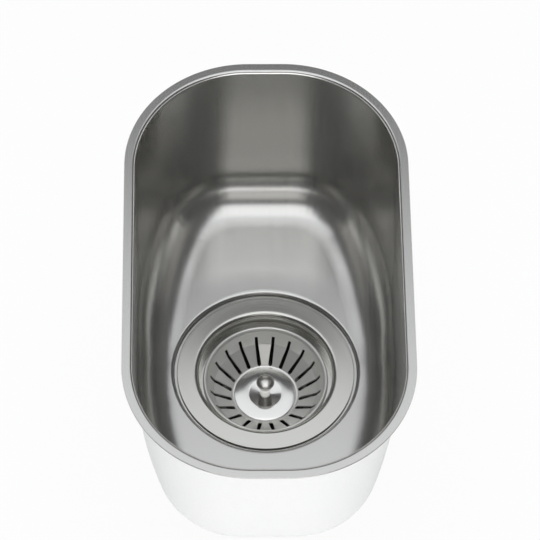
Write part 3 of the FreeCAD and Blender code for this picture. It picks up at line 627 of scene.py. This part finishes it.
# Waste body: a moulding of dark polypropylene that the centre bolt clamps under the bowl.
# It has a flange with ribs, a tapered shell, a spider that holds the bolt and a threaded outlet.
OUTLET_LENGTH, OUTLET_RADIUS, OUTLET_BORE, OUTLET_COLLAR = 24.0, 22.6, 20.0, 26.9
BODY_WALL, BODY_FLOOR_DROP, BODY_MOUTH, BODY_FOOT = 3.0, 6.0, 46.0, 42.0
BODY_FLANGE, BODY_FLANGE_HEIGHT, BODY_FLANGE_FILLET = 56.5, 4.5, 1.0
BORE_EDGE, BODY_EDGE, BODY_INNER_ROUND, COLLAR_ROUND, BELLY_ROUND = 0.5, 0.6, 2.0, 0.8, 4.0
THREAD_CREST, THREAD_ROOT, THREAD_PITCH, THREAD_SLOPE = 23.9, 22.55, 2.309, 3.8
THREAD_RELIEF, THREAD_LEAD, THREAD_BITE = 1.3, 1.0, 1.0
THREAD_ROWS_PER_TURN, THREAD_STEPS = 10, 120
RIB_COUNT, RIB_THICKNESS, RIB_HEIGHT = 12, 2.5, 18.0
RIB_FOOT, RIB_REACH, RIB_ROOT, RIB_BITE = 46.0, 55.0, 47.5, 0.2
ARM_COUNT, ARM_WIDTH, ARM_HEIGHT, ARM_ROOT, ARM_REACH = 4, 3.6, 8.0, 6.5, 21.5
SPIDER_HEIGHT, SPIDER_HUB, SPIDER_HUB_EDGE, INSERT_BORE = 12.0, 8.05, 0.4, 5.05
_, outlet_end, body_top = node_span("waste_body")
bore_top = outlet_end + OUTLET_LENGTH
body_floor = bore_top + BODY_FLOOR_DROP
collar_bottom = bore_top - BODY_WALL
thread_top, thread_end = collar_bottom - THREAD_RELIEF, outlet_end + THREAD_LEAD
rib_top = body_top - BODY_FLANGE_HEIGHT
spider_top = node_span("insert_nut")[2]
spider_bottom = spider_top - SPIDER_HEIGHT

moulding, tree, shader = new_material("dark_moulding")
set_inputs(shader, {"Specular IOR Level": 0.45})
spark = put_specks(tree, scale=1800.0, detail=2.0)
toned(tree, shader, spark, dark=(0.075, 0.075, 0.08), pale=(0.105, 0.105, 0.11))
roughened(tree, shader, spark, smooth=0.42, rough=0.62)
add_bump(tree, shader, spark, strength=0.25, depth=0.0002)


def mesh_of(name, solid):
    """A plain mesh of a bmesh, which is then freed."""
    mesh = bpy.data.meshes.new(name)
    solid.to_mesh(mesh)
    solid.free()
    return mesh


def prism_mesh(name, near, far):
    """A solid between two like outlines."""
    solid = bmesh.new()
    rings = [[solid.verts.new(corner * MM) for corner in outline] for outline in (near, far)]
    solid.faces.new(rings[0])
    solid.faces.new(list(reversed(rings[1])))
    for index in range(len(near)):
        after = (index + 1) % len(near)
        solid.faces.new((rings[0][after], rings[0][index], rings[1][index], rings[1][after]))
    bmesh.ops.recalc_face_normals(solid, faces=solid.faces)
    return mesh_of(name, solid)


def thread_mesh():
    """A rounded screw thread on the outlet, running out at both ends."""
    length = thread_top - thread_end
    rows = int(length / THREAD_PITCH * THREAD_ROWS_PER_TURN)
    columns = []
    for step in range(THREAD_STEPS):
        facing = heading(2 * pi * step / THREAD_STEPS)
        column = []
        for row in range(rows + 1):
            level = thread_end + length * row / rows
            phase = (level / THREAD_PITCH + step / THREAD_STEPS) % 1.0
            flank = min(1.0, THREAD_SLOPE * (0.5 - abs(phase - 0.5)))
            runout = min(1.0, row / THREAD_ROWS_PER_TURN, (rows - row) / THREAD_ROWS_PER_TURN)
            column.append((THREAD_ROOT + (THREAD_CREST - THREAD_ROOT) * flank * runout, level))
        column += [(THREAD_ROOT - THREAD_BITE, level) for level in (thread_top, thread_end)]
        columns.append([Vector((*(WASTE_CENTRE + facing * reach), level)) for reach, level in column])
    return grid_mesh("outlet_thread", columns)


body_shell = turned_mesh("body_shell", [
    (BODY_MOUTH, body_top, BORE_EDGE), (BODY_FOOT, body_floor, BODY_INNER_ROUND),
    (OUTLET_BORE, bore_top, BODY_INNER_ROUND), (OUTLET_BORE, outlet_end, BORE_EDGE),
    (OUTLET_RADIUS, outlet_end, BODY_EDGE), (OUTLET_RADIUS, collar_bottom),
    (OUTLET_COLLAR, collar_bottom, COLLAR_ROUND),
    (BODY_FOOT + BODY_WALL, body_floor - BODY_WALL, BELLY_ROUND),
    (BODY_MOUTH + BODY_WALL, rib_top, BODY_FLANGE_FILLET), (BODY_FLANGE, rib_top, BODY_EDGE),
    (BODY_FLANGE, body_top, BODY_EDGE),
])
rib_outline = ((RIB_FOOT, rib_top - RIB_HEIGHT), (RIB_REACH, rib_top), (RIB_ROOT, rib_top + RIB_BITE))
rib_places = (-RIB_THICKNESS / 2, RIB_THICKNESS / 2)
rib_sides = [[Vector((x, place, z)) for x, z in rib_outline] for place in rib_places]
ribs = spread_round("body_ribs", RIB_COUNT, prism_mesh("rib", *rib_sides), moulding)
half_arm = ARM_WIDTH / 2
arm_outline = ((ARM_ROOT, -half_arm), (ARM_REACH, -half_arm), (ARM_REACH, half_arm), (ARM_ROOT, half_arm))
arm_levels = (spider_bottom, spider_bottom + ARM_HEIGHT)
arm_sides = [[Vector((x, y, level)) for x, y in arm_outline] for level in arm_levels]
arms = spread_round("bolt_spider", ARM_COUNT, prism_mesh("arm", *arm_sides), moulding)
hub_span = (SPIDER_HUB, spider_bottom, spider_top)
hub_outline = ring_outline(INSERT_BORE, hub_span, SPIDER_HUB_EDGE, SPIDER_HUB_EDGE)
hub = turned_mesh("spider_hub", hub_outline, CUTTER_STEPS)
moulded = bmesh.new()
for mesh in (body_shell, thread_mesh(), ribs, arms, hub):
    moulded.from_mesh(mesh)
body_mesh = mesh_of("waste_moulding", moulded)
body_mesh.materials.append(moulding)
for face in body_mesh.polygons:
    face.material_index = 0
waste_body = finish_mesh("waste_moulding", body_mesh)
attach(waste_body, "sink")
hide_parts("waste_body")

# Centre bolt, washer and insert: a plated steel bolt with its washer, and a brass nut in the body's hub.
# The bolt goes down through the cup's foot and draws the cup and the body together on the gaskets.
bolt_steel = turned_steel(
    "bolt_steel", dark=(0.46, 0.46, 0.45), pale=(0.58, 0.58, 0.57), smooth=0.24, rough=0.36, lines=1500.0,
)
brass = turned_steel(
    "insert_brass", dark=(0.58, 0.41, 0.16), pale=(0.72, 0.54, 0.26), smooth=0.25, rough=0.38, lines=1500.0,
)
paint_node("clamp_bolt", bolt_steel)
paint_node("bolt_washer", bolt_steel)
paint_node("insert_nut", brass)

# Basket: pressed from thin steel with a rolled bead, a steep wall and a conical floor.
# Tapered slots run from the bead down to the cap, and leave bright petals between them.
SLOT_COUNT = 20
SLOT_START, SLOT_INNER, SLOT_OUTER, SLOT_BRIDGE = 23.1, 2.6, 1.7, 3.7
BASKET_RIM, BASKET_SHEET, BUSH_HOLE = 40.3, 0.8, 5.45
BEAD_RADIUS, BEAD_FOOT, BEAD_HEM_SHARE = 1.2, 0.3, 0.03
FLAT_RADIUS, FLAT_ROUND, CONE_RADIUS, CONE_RISE, CONE_ROUND = 21.5, 3.0, 33.3, 9.1, 1.6
MIDDLE_RADII = (BUSH_HOLE, 12.0, 20.2, 20.5, 20.8, 21.1, 21.4, 21.6)
HEEL_RADII = (21.8, 21.9, 22.1, 22.4, 22.7, 23.1)
CONE_ROWS, SLOT_WALL_ROWS, PETAL_STEPS = 5, 4, 6
BEAD_NECK_ROWS, BEAD_SIDE_ROWS, BEAD_ARC_ROWS, BEAD_FOOT_ROWS = 3, 2, 16, 4
LEAST_SLOT = radians(0.12)
_, basket_underside, bead_top = node_span("basket")
basket_floor = basket_underside + BASKET_SHEET
cone_level = basket_floor + CONE_RISE
bead_middle = bead_top - BEAD_RADIUS
bead_bottom = bead_middle - BEAD_RADIUS
slot_top = bead_bottom - SLOT_BRIDGE
rim_inside = BASKET_RIM - 2 * BEAD_RADIUS


def slot_half_angle(radius):
    """Half of the angle that a slot takes at a radius."""
    inner_half = SLOT_INNER / 2
    if radius < SLOT_START:
        back = SLOT_START - radius
        half = sqrt(max(0.0, inner_half * inner_half - back * back))
    else:
        share = (radius - SLOT_START) / (BASKET_RIM - SLOT_START)
        half = inner_half + (SLOT_OUTER / 2 - inner_half) * share
    return max(LEAST_SLOT, asin(half / radius))


def path_between(start, end, count):
    return [start.lerp(end, step / count) for step in range(1, count + 1)]


def arc_rows(centre, radius, first, last, count):
    turns = even_steps(radians(first), radians(last), count)[1:]
    return [centre + heading(turn) * radius for turn in turns]


def level_at(profile, radius):
    """Level of a basket profile at a radius."""
    for start, end in zip(profile, profile[1:]):
        if start.x <= radius <= end.x:
            return start.y + (end.y - start.y) * (radius - start.x) / (end.x - start.x)


def skin_profile(flat_level, cone, wall_top, extra_round):
    """One skin of the basket from the bush hole to the slots' upper end."""
    wall_share = (slot_top - cone.y) / (wall_top.y - cone.y)
    return softened([
        (BUSH_HOLE, flat_level), (FLAT_RADIUS + extra_round, flat_level, FLAT_ROUND + extra_round),
        (*cone, CONE_ROUND + extra_round), tuple(cone.lerp(wall_top, wall_share)),
    ])


def slotted_rows(profile):
    """The rows of one skin that the slots cut: heel, cone, bend and the foot of the wall."""
    rows = [Vector((radius, level_at(profile, radius))) for radius in HEEL_RADII]
    bend = profile[-ROUND_ROWS - 2:-1]
    rows += path_between(rows[-1], bend[0], CONE_ROWS) + bend[1:]
    return rows + path_between(bend[-1], profile[-1], SLOT_WALL_ROWS)


inner_cone = Vector((CONE_RADIUS, cone_level))
inner_wall_top = Vector((rim_inside, bead_bottom))
outer_cone = Vector((CONE_RADIUS + BASKET_SHEET, cone_level - BASKET_SHEET))
outer_wall_top = Vector((rim_inside + BASKET_SHEET, bead_bottom))
inside = skin_profile(basket_floor, inner_cone, inner_wall_top, 0.0)
outside = skin_profile(basket_underside, outer_cone, outer_wall_top, BASKET_SHEET)
slot_inside, slot_outside = slotted_rows(inside), slotted_rows(outside)
middle_inside = [Vector((radius, level_at(inside, radius))) for radius in MIDDLE_RADII]
middle_outside = [Vector((radius, level_at(outside, radius))) for radius in reversed(MIDDLE_RADII)]
bead_centre = Vector((BASKET_RIM - BEAD_RADIUS, bead_middle))
hem_centre = Vector((BASKET_RIM - BEAD_FOOT, bead_bottom + BEAD_FOOT))
bead = path_between(slot_inside[-1], inner_wall_top, BEAD_NECK_ROWS)
bead += path_between(bead[-1], Vector((rim_inside, bead_middle)), BEAD_SIDE_ROWS)
bead += arc_rows(bead_centre, BEAD_RADIUS, first=180.0, last=0.0, count=BEAD_ARC_ROWS)
bead += path_between(bead[-1], Vector((BASKET_RIM, bead_bottom + BEAD_FOOT)), BEAD_SIDE_ROWS)
bead += arc_rows(hem_centre, BEAD_FOOT, first=0.0, last=-90.0, count=BEAD_FOOT_ROWS)
bead += [outer_wall_top + Vector((BEAD_FOOT, 0.0)), outer_wall_top.lerp(outer_cone, BEAD_HEM_SHARE)]
basket_rows = middle_inside + slot_inside + bead + list(reversed(slot_outside)) + middle_outside
first_inside = len(middle_inside)
last_inside = first_inside + len(slot_inside) - 1
first_outside = last_inside + len(bead) + 1
last_outside = first_outside + len(slot_outside) - 1


def petal_flatness(row):
    """How flat a petal is across at a row: the slots leave flat strips, and the rim is round again."""
    up_inside = min(row - first_inside, last_inside - row) / SLOT_WALL_ROWS
    up_outside = min(row - first_outside, last_outside - row) / SLOT_WALL_ROWS
    return max(0.0, min(1.0, max(up_inside, up_outside)))


def petal_mesh():
    """One petal of the basket with half a slot on either side."""
    half_sector = pi / SLOT_COUNT
    solid = bmesh.new()
    grid = []
    for row, point in enumerate(basket_rows):
        reach = half_sector - slot_half_angle(point.x)
        angles = even_steps(-reach, reach, PETAL_STEPS)
        flat = petal_flatness(row)
        depths = [cos(angle) + (cos(reach) - cos(angle)) * flat for angle in angles]
        angles = [-half_sector, *angles, half_sector]
        depths = [cos(half_sector), *depths, cos(half_sector)]
        line = []
        for angle, depth in zip(angles, depths):
            spot = Vector((point.x * depth, point.x * sin(angle), point.y))
            line.append(solid.verts.new(spot * MM))
        grid.append(line)
    rows, last_column = len(grid), PETAL_STEPS + 2
    for row in range(rows):
        here, there = grid[row], grid[(row + 1) % rows]
        cut = first_inside <= row < last_inside or first_outside <= row < last_outside
        for column in range(last_column):
            if cut and column in (0, last_column - 1):
                continue
            solid.faces.new((here[column], here[column + 1], there[column + 1], there[column]))
    for edge in (1, last_column - 1):
        for step in range(len(slot_inside) - 1):
            near, far = first_inside + step, last_outside - step
            solid.faces.new((grid[near][edge], grid[near + 1][edge], grid[far - 1][edge], grid[far][edge]))
    for left, right in ((0, 1), (last_column - 1, last_column)):
        for near, far in ((first_inside, last_outside), (last_inside, first_outside)):
            solid.faces.new((grid[near][left], grid[near][right], grid[far][right], grid[far][left]))
    bmesh.ops.recalc_face_normals(solid, faces=solid.faces)
    return mesh_of("basket_petal", solid)


basket_steel = turned_steel(
    "basket_steel", dark=(0.82, 0.815, 0.79), pale=(0.85, 0.845, 0.82),
    smooth=0.22, rough=0.25, lines=2600.0, metallic=0.6,
)
basket_mesh = spread_round("basket_shell", SLOT_COUNT, petal_mesh(), basket_steel)
shell = bmesh.new()
shell.from_mesh(basket_mesh)
bmesh.ops.recalc_face_normals(shell, faces=shell.faces)
shell.to_mesh(basket_mesh)
shell.free()
basket = finish_mesh("basket_shell", basket_mesh)
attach(basket, "basket")
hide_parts("basket")

# Centre cap: a low disc of steel, gently domed round a shallow dimple, pressed and mirror polished.
# It lies on the basket's flat middle and covers the bush.
STEM_HOLE, CREST_RADIUS, CREST_ROUND = 3.3, 10.6, 4.0
CAP_EDGE_HEIGHT, CAP_DIMPLE_HEIGHT, CAP_EDGE_ROUND, CAP_FOOT_BREAK = 1.2, 0.7, 0.4, 0.1
CAP_ARC_ROWS = 14
cap_steel = turned_steel(
    "polished_steel", dark=(0.76, 0.755, 0.74), pale=(0.79, 0.785, 0.77),
    smooth=0.12, rough=0.16, lines=300.0,
)


def arc_up(start, end, count):
    """Points of an arc that rises from start and lies level at its end."""
    run, drop = start.x - end.x, start.y - end.y
    radius = (run * run + drop * drop) / (2 * abs(drop))
    points = []
    for x in even_steps(start.x, end.x, count):
        depth = radius - sqrt(radius * radius - (x - end.x) ** 2)
        points.append((x, end.y + copysign(depth, drop)))
    return points


cap_radius, cap_bottom, cap_top = node_span("centre_cap")
cap_edge = Vector((cap_radius, cap_bottom + CAP_EDGE_HEIGHT))
cap_crest = Vector((CREST_RADIUS, cap_top))
turned_piece("domed_cap", "centre_cap", "basket", [
    (STEM_HOLE, cap_bottom), (cap_radius - CAP_FOOT_BREAK, cap_bottom), (*cap_edge, CAP_EDGE_ROUND),
    *arc_up(cap_edge, cap_crest, CAP_ARC_ROWS)[1:-1], (*cap_crest, CREST_ROUND),
    (STEM_HOLE, cap_bottom + CAP_DIMPLE_HEIGHT),
], cap_steel)

# Guide bush and grip ring: a pale bush of hard plastic, clipped through the hole in the basket's middle.
# A rubber ring in its groove grips the stem at the height where it is set.
STEM_BORE, BUSH_RADIUS, BUSH_FOOT_ROUND = 3.15, 5.4, 0.4
BUSH_FLANGE_HEIGHT, BUSH_FLANGE_ROUND = 1.2, 0.3
GROOVE_RADIUS, GROOVE_HALF, GROOVE_DROP = 4.65, 0.75, 3.0
acetal, tree, shader = new_material("bush_plastic")
cloud = put_specks(tree, scale=500.0, detail=2.0)
toned(tree, shader, cloud, dark=(0.72, 0.72, 0.69), pale=(0.80, 0.80, 0.77))
roughened(tree, shader, cloud, smooth=0.32, rough=0.45)
bush_flange, bush_bottom, bush_top = node_span("guide_bush")
bush_flange_under = basket_underside - BUSH_FLANGE_HEIGHT
groove_level = bush_top - GROOVE_DROP
turned_piece("stem_bush", "guide_bush", "basket", [
    (STEM_BORE, bush_bottom), (BUSH_RADIUS, bush_bottom, BUSH_FOOT_ROUND), (BUSH_RADIUS, bush_flange_under),
    (bush_flange, bush_flange_under, BUSH_FLANGE_ROUND), (bush_flange, basket_underside),
    (BUSH_RADIUS, basket_underside), (BUSH_RADIUS, bush_top), (STEM_BORE, bush_top),
    (STEM_BORE, groove_level + GROOVE_HALF), (GROOVE_RADIUS, groove_level + GROOVE_HALF),
    (GROOVE_RADIUS, groove_level - GROOVE_HALF), (STEM_BORE, groove_level - GROOVE_HALF),
], acetal)
paint_node("grip_ring", rubber)

# Pull knob and stem: both turned from steel bar, with the fine rings that the tool leaves.
# The knob is pressed onto the stem's spigot, and the stem slides through the bush.
KNOB_RADIUS, KNOB_CROWN, KNOB_BOWL_ARC, KNOB_EDGE_ROUND = 5.85, 1.9, 6.2, 0.5
KNOB_BOWL_ROWS, KNOB_CROWN_ROWS = 10, 12
SOCKET_DEPTH, SOCKET_RADIUS, SPIGOT_RADIUS, SPIGOT_GAP = 3.4, 2.05, 2.0, 0.3
STEM_RADIUS, STEM_SHOULDER, TAIL_RADIUS, TAIL_ROUND = 3.1, 0.1, 2.5, 0.3
knob_steel = turned_steel(
    "knob_steel", dark=(0.66, 0.65, 0.62), pale=(0.72, 0.71, 0.68), smooth=0.20, rough=0.30, lines=2200.0,
)
_, knob_bottom, knob_top = node_span("pull_knob")
socket_top = knob_bottom + SOCKET_DEPTH
bowl_start, bowl_end = Vector((STEM_RADIUS, knob_bottom)), Vector((KNOB_RADIUS, knob_top - KNOB_CROWN))
chord = bowl_end - bowl_start
bow = sqrt(KNOB_BOWL_ARC ** 2 - chord.length_squared / 4)
bowl_centre = (bowl_start + bowl_end) / 2 + Vector((-chord.y, chord.x)).normalized() * bow
first_turn = atan2(bowl_start.y - bowl_centre.y, bowl_start.x - bowl_centre.x)
last_turn = atan2(bowl_end.y - bowl_centre.y, bowl_end.x - bowl_centre.x)
knob_outline = [(SOCKET_RADIUS, knob_bottom)]
for turn in even_steps(first_turn, last_turn, KNOB_BOWL_ROWS):
    knob_outline.append(tuple(bowl_centre + heading(turn) * KNOB_BOWL_ARC))
knob_outline[-1] = (*knob_outline[-1], KNOB_EDGE_ROUND)
knob_outline += arc_up(bowl_end, Vector((0.0, knob_top)), KNOB_CROWN_ROWS)[1:]
knob_outline += [(0.0, socket_top), (SOCKET_RADIUS, socket_top)]
turned_piece("turned_knob", "pull_knob", "plug", knob_outline, knob_steel)
stem_end = node_span("stem")[1]
plate_top = node_span("plug_plate")[2]
turned_piece("turned_stem", "stem", "plug", [
    (0.0, stem_end), (TAIL_RADIUS, stem_end, TAIL_ROUND), (TAIL_RADIUS, plate_top),
    (STEM_RADIUS, plate_top, STEM_SHOULDER), (STEM_RADIUS, knob_bottom), (SPIGOT_RADIUS, knob_bottom),
    (SPIGOT_RADIUS, socket_top - SPIGOT_GAP), (0.0, socket_top - SPIGOT_GAP),
], knob_steel)

# Plug: a moulded rubber disc with a lip that closes the cup, under a plate of plated steel.
# A washer and a nut on the stem's tail clamp the disc against the plate.
TAIL_BORE, LIP_WIDTH = 2.55, 3.2
PLATE_FOOT_ROUND, PLATE_TOP_ROUND, WASHER_ROUND = 0.2, 0.4, 0.2
LIP_INNER_ROUND, LIP_OUTER_ROUND, SEAL_SHOULDER_ROUND, SEAL_TOP_ROUND = 0.4, 0.6, 1.0, 0.8
disc_outline = ring_outline(TAIL_BORE, node_span("plug_plate"), PLATE_FOOT_ROUND, PLATE_TOP_ROUND)
turned_piece("plug_disc", "plug_plate", "plug", disc_outline, bolt_steel)
seal_radius, lip_bottom, seal_top = node_span("plug_seal")
ring_radius, ring_bottom, ring_top = node_span("plug_washer")
lip_inside = seal_radius - LIP_WIDTH
turned_piece("plug_rubber", "plug_seal", "plug", [
    (TAIL_BORE, ring_top), (lip_inside, ring_top), (lip_inside, lip_bottom, LIP_INNER_ROUND),
    (seal_radius, lip_bottom, LIP_OUTER_ROUND), (seal_radius, ring_top, SEAL_SHOULDER_ROUND),
    (lip_inside, seal_top, SEAL_TOP_ROUND), (TAIL_BORE, seal_top),
], rubber)
turned_piece("plug_ring", "plug_washer", "plug", [
    (TAIL_BORE, ring_bottom), (ring_radius, ring_bottom, WASHER_ROUND), (ring_radius, ring_top),
    (TAIL_BORE, ring_top),
], bolt_steel)
paint_node("stem_nut", bolt_steel)

# Stage: a pale matt floor under the outlet's end, a white surround and soft light from large boxes.
# The surround grows dim overhead, so that the bright steel has dark as well as light to show.
FLOOR_SPAN, FLOOR_GLOW = 6.0, 0.93
WHITE = (1.0, 1.0, 1.0, 1.0)
floor_plane = bmesh.new()
bmesh.ops.create_grid(floor_plane, x_segments=1, y_segments=1, size=FLOOR_SPAN)
floor_mesh = mesh_of("pale_floor", floor_plane)
floor_mesh.transform(Matrix.Translation((0.0, 0.0, cad_box[0].z)))


def shown_rays(tree):
    """1 for the rays that show the surround: from the camera, in gloss and through glass."""
    rays = tree.nodes.new("ShaderNodeLightPath")
    shown = rays.outputs["Is Camera Ray"]
    for kind in ("Is Glossy Ray", "Is Transmission Ray"):
        either = tree.nodes.new("ShaderNodeMath")
        either.operation = "MAXIMUM"
        wire(tree, (shown, either.inputs[0]), (rays.outputs[kind], either.inputs[1]))
        shown = either.outputs["Value"]
    return shown


pale, tree, shader = new_material("pale_floor")
set_inputs(shader, {"Base Color": (0.85, 0.85, 0.85, 1.0), "Roughness": 0.9, "Specular IOR Level": 0.0})
glow = add_node(tree, "ShaderNodeEmission", {"Color": WHITE})
share = add_node(tree, "ShaderNodeMath", {1: FLOOR_GLOW})
share.operation = "MULTIPLY"
blend = tree.nodes.new("ShaderNodeMixShader")
wire(
    tree,
    (shown_rays(tree), share.inputs[0]),
    (share.outputs["Value"], blend.inputs["Fac"]),
    (shader.outputs["BSDF"], blend.inputs[1]),
    (glow.outputs["Emission"], blend.inputs[2]),
    (blend.outputs["Shader"], tree.nodes["Material Output"].inputs["Surface"]),
)
floor_mesh.materials.append(pale)
floor = put_in_scene("pale_floor", floor_mesh)

world = bpy.data.worlds.new("white_surround")
bpy.context.scene.world = world
world.use_nodes = True
tree = world.node_tree
ambient = tree.nodes["Background"]
set_inputs(ambient, {"Color": (0.97, 0.985, 1.0, 1.0), "Strength": 0.6})
white = add_node(tree, "ShaderNodeBackground", {"Color": WHITE})
upward = tree.nodes.new("ShaderNodeTexCoord")
heights = tree.nodes.new("ShaderNodeSeparateXYZ")
dimming = tree.nodes.new("ShaderNodeMapRange")
dimming.interpolation_type = "SMOOTHSTEP"
set_inputs(dimming, {"From Min": 0.10, "From Max": 0.40, "To Min": 1.0, "To Max": 0.09})
blend = tree.nodes.new("ShaderNodeMixShader")
wire(
    tree,
    (upward.outputs["Generated"], heights.inputs["Vector"]),
    (heights.outputs["Z"], dimming.inputs["Value"]),
    (dimming.outputs["Result"], white.inputs["Strength"]),
    (shown_rays(tree), blend.inputs["Fac"]),
    (ambient.outputs["Background"], blend.inputs[1]),
    (white.outputs["Background"], blend.inputs[2]),
    (blend.outputs["Shader"], tree.nodes["World Output"].inputs["Surface"]),
)


def add_softbox(name, place, target, width, height, power, tint):
    lamp = bpy.data.lights.new(name, "AREA")
    lamp.shape = "RECTANGLE"
    lamp.size = width
    lamp.size_y = height
    lamp.energy = power
    lamp.color = tint
    holder = put_in_scene(name, lamp)
    holder.location = place
    holder.rotation_euler = (Vector(target) - Vector(place)).to_track_quat("-Z", "Y").to_euler()


add_softbox(
    "rear_softbox", place=(-0.12, 0.67, 1.5), target=(-0.12, 0.67, 0.0),
    width=1.5, height=0.80, power=3.5, tint=(0.955, 0.975, 1.0),
)
add_softbox(
    "overhead_softbox", place=(0.0, -0.06, 1.5), target=(0.0, -0.06, 0.0),
    width=1.15, height=1.2, power=5.8, tint=(0.97, 0.985, 1.0),
)
add_softbox(
    "front_softbox", place=(0.0, -1.5, 0.3), target=(0.0, 0.0, -0.1),
    width=1.6, height=0.8, power=8.0, tint=(1.0, 1.0, 1.0),
)
add_softbox(
    "upper_softbox", place=(0.0, -1.2, 1.05), target=(0.0, 0.05, -0.1),
    width=0.95, height=0.55, power=1.1, tint=(1.0, 0.985, 0.95),
)

# Camera: high in front of the sink with a long lens, at the photograph's viewing angle.
# Its place, turn and shift come from a fit to the outlines of the rim, the seat and the waste.
CAMERA_TARGET = Vector((0.0, -0.005367, 0.0))
CAMERA_DISTANCE = 2.05035
CAMERA_ELEVATION = radians(56.695)
CAMERA_YAW = radians(-1.787)
CAMERA_ROLL = radians(1.315)
LENS_LENGTH, LENS_SHIFT_X, LENS_SHIFT_Y, LENS_REACH = 223.2, 0.00373, -0.00022, 50.0
back = Vector((
    sin(CAMERA_YAW) * cos(CAMERA_ELEVATION),
    -cos(CAMERA_YAW) * cos(CAMERA_ELEVATION),
    sin(CAMERA_ELEVATION),
))
level_right = Vector((cos(CAMERA_YAW), sin(CAMERA_YAW), 0.0))
level_up = back.cross(level_right)
right = level_right * cos(CAMERA_ROLL) + level_up * sin(CAMERA_ROLL)
up = back.cross(right)
lens = bpy.data.cameras.new("photo_camera")
lens.lens = LENS_LENGTH
lens.shift_x = LENS_SHIFT_X
lens.shift_y = LENS_SHIFT_Y
lens.clip_end = LENS_REACH
camera = put_in_scene("photo_camera", lens)
turned = Matrix((right, up, back)).transposed().to_4x4()
camera.matrix_world = Matrix.Translation(CAMERA_TARGET + back * CAMERA_DISTANCE) @ turned
bpy.context.scene.camera = camera
bpy.context.scene.view_settings.view_transform = "Standard"

bpy.context.view_layer.update()
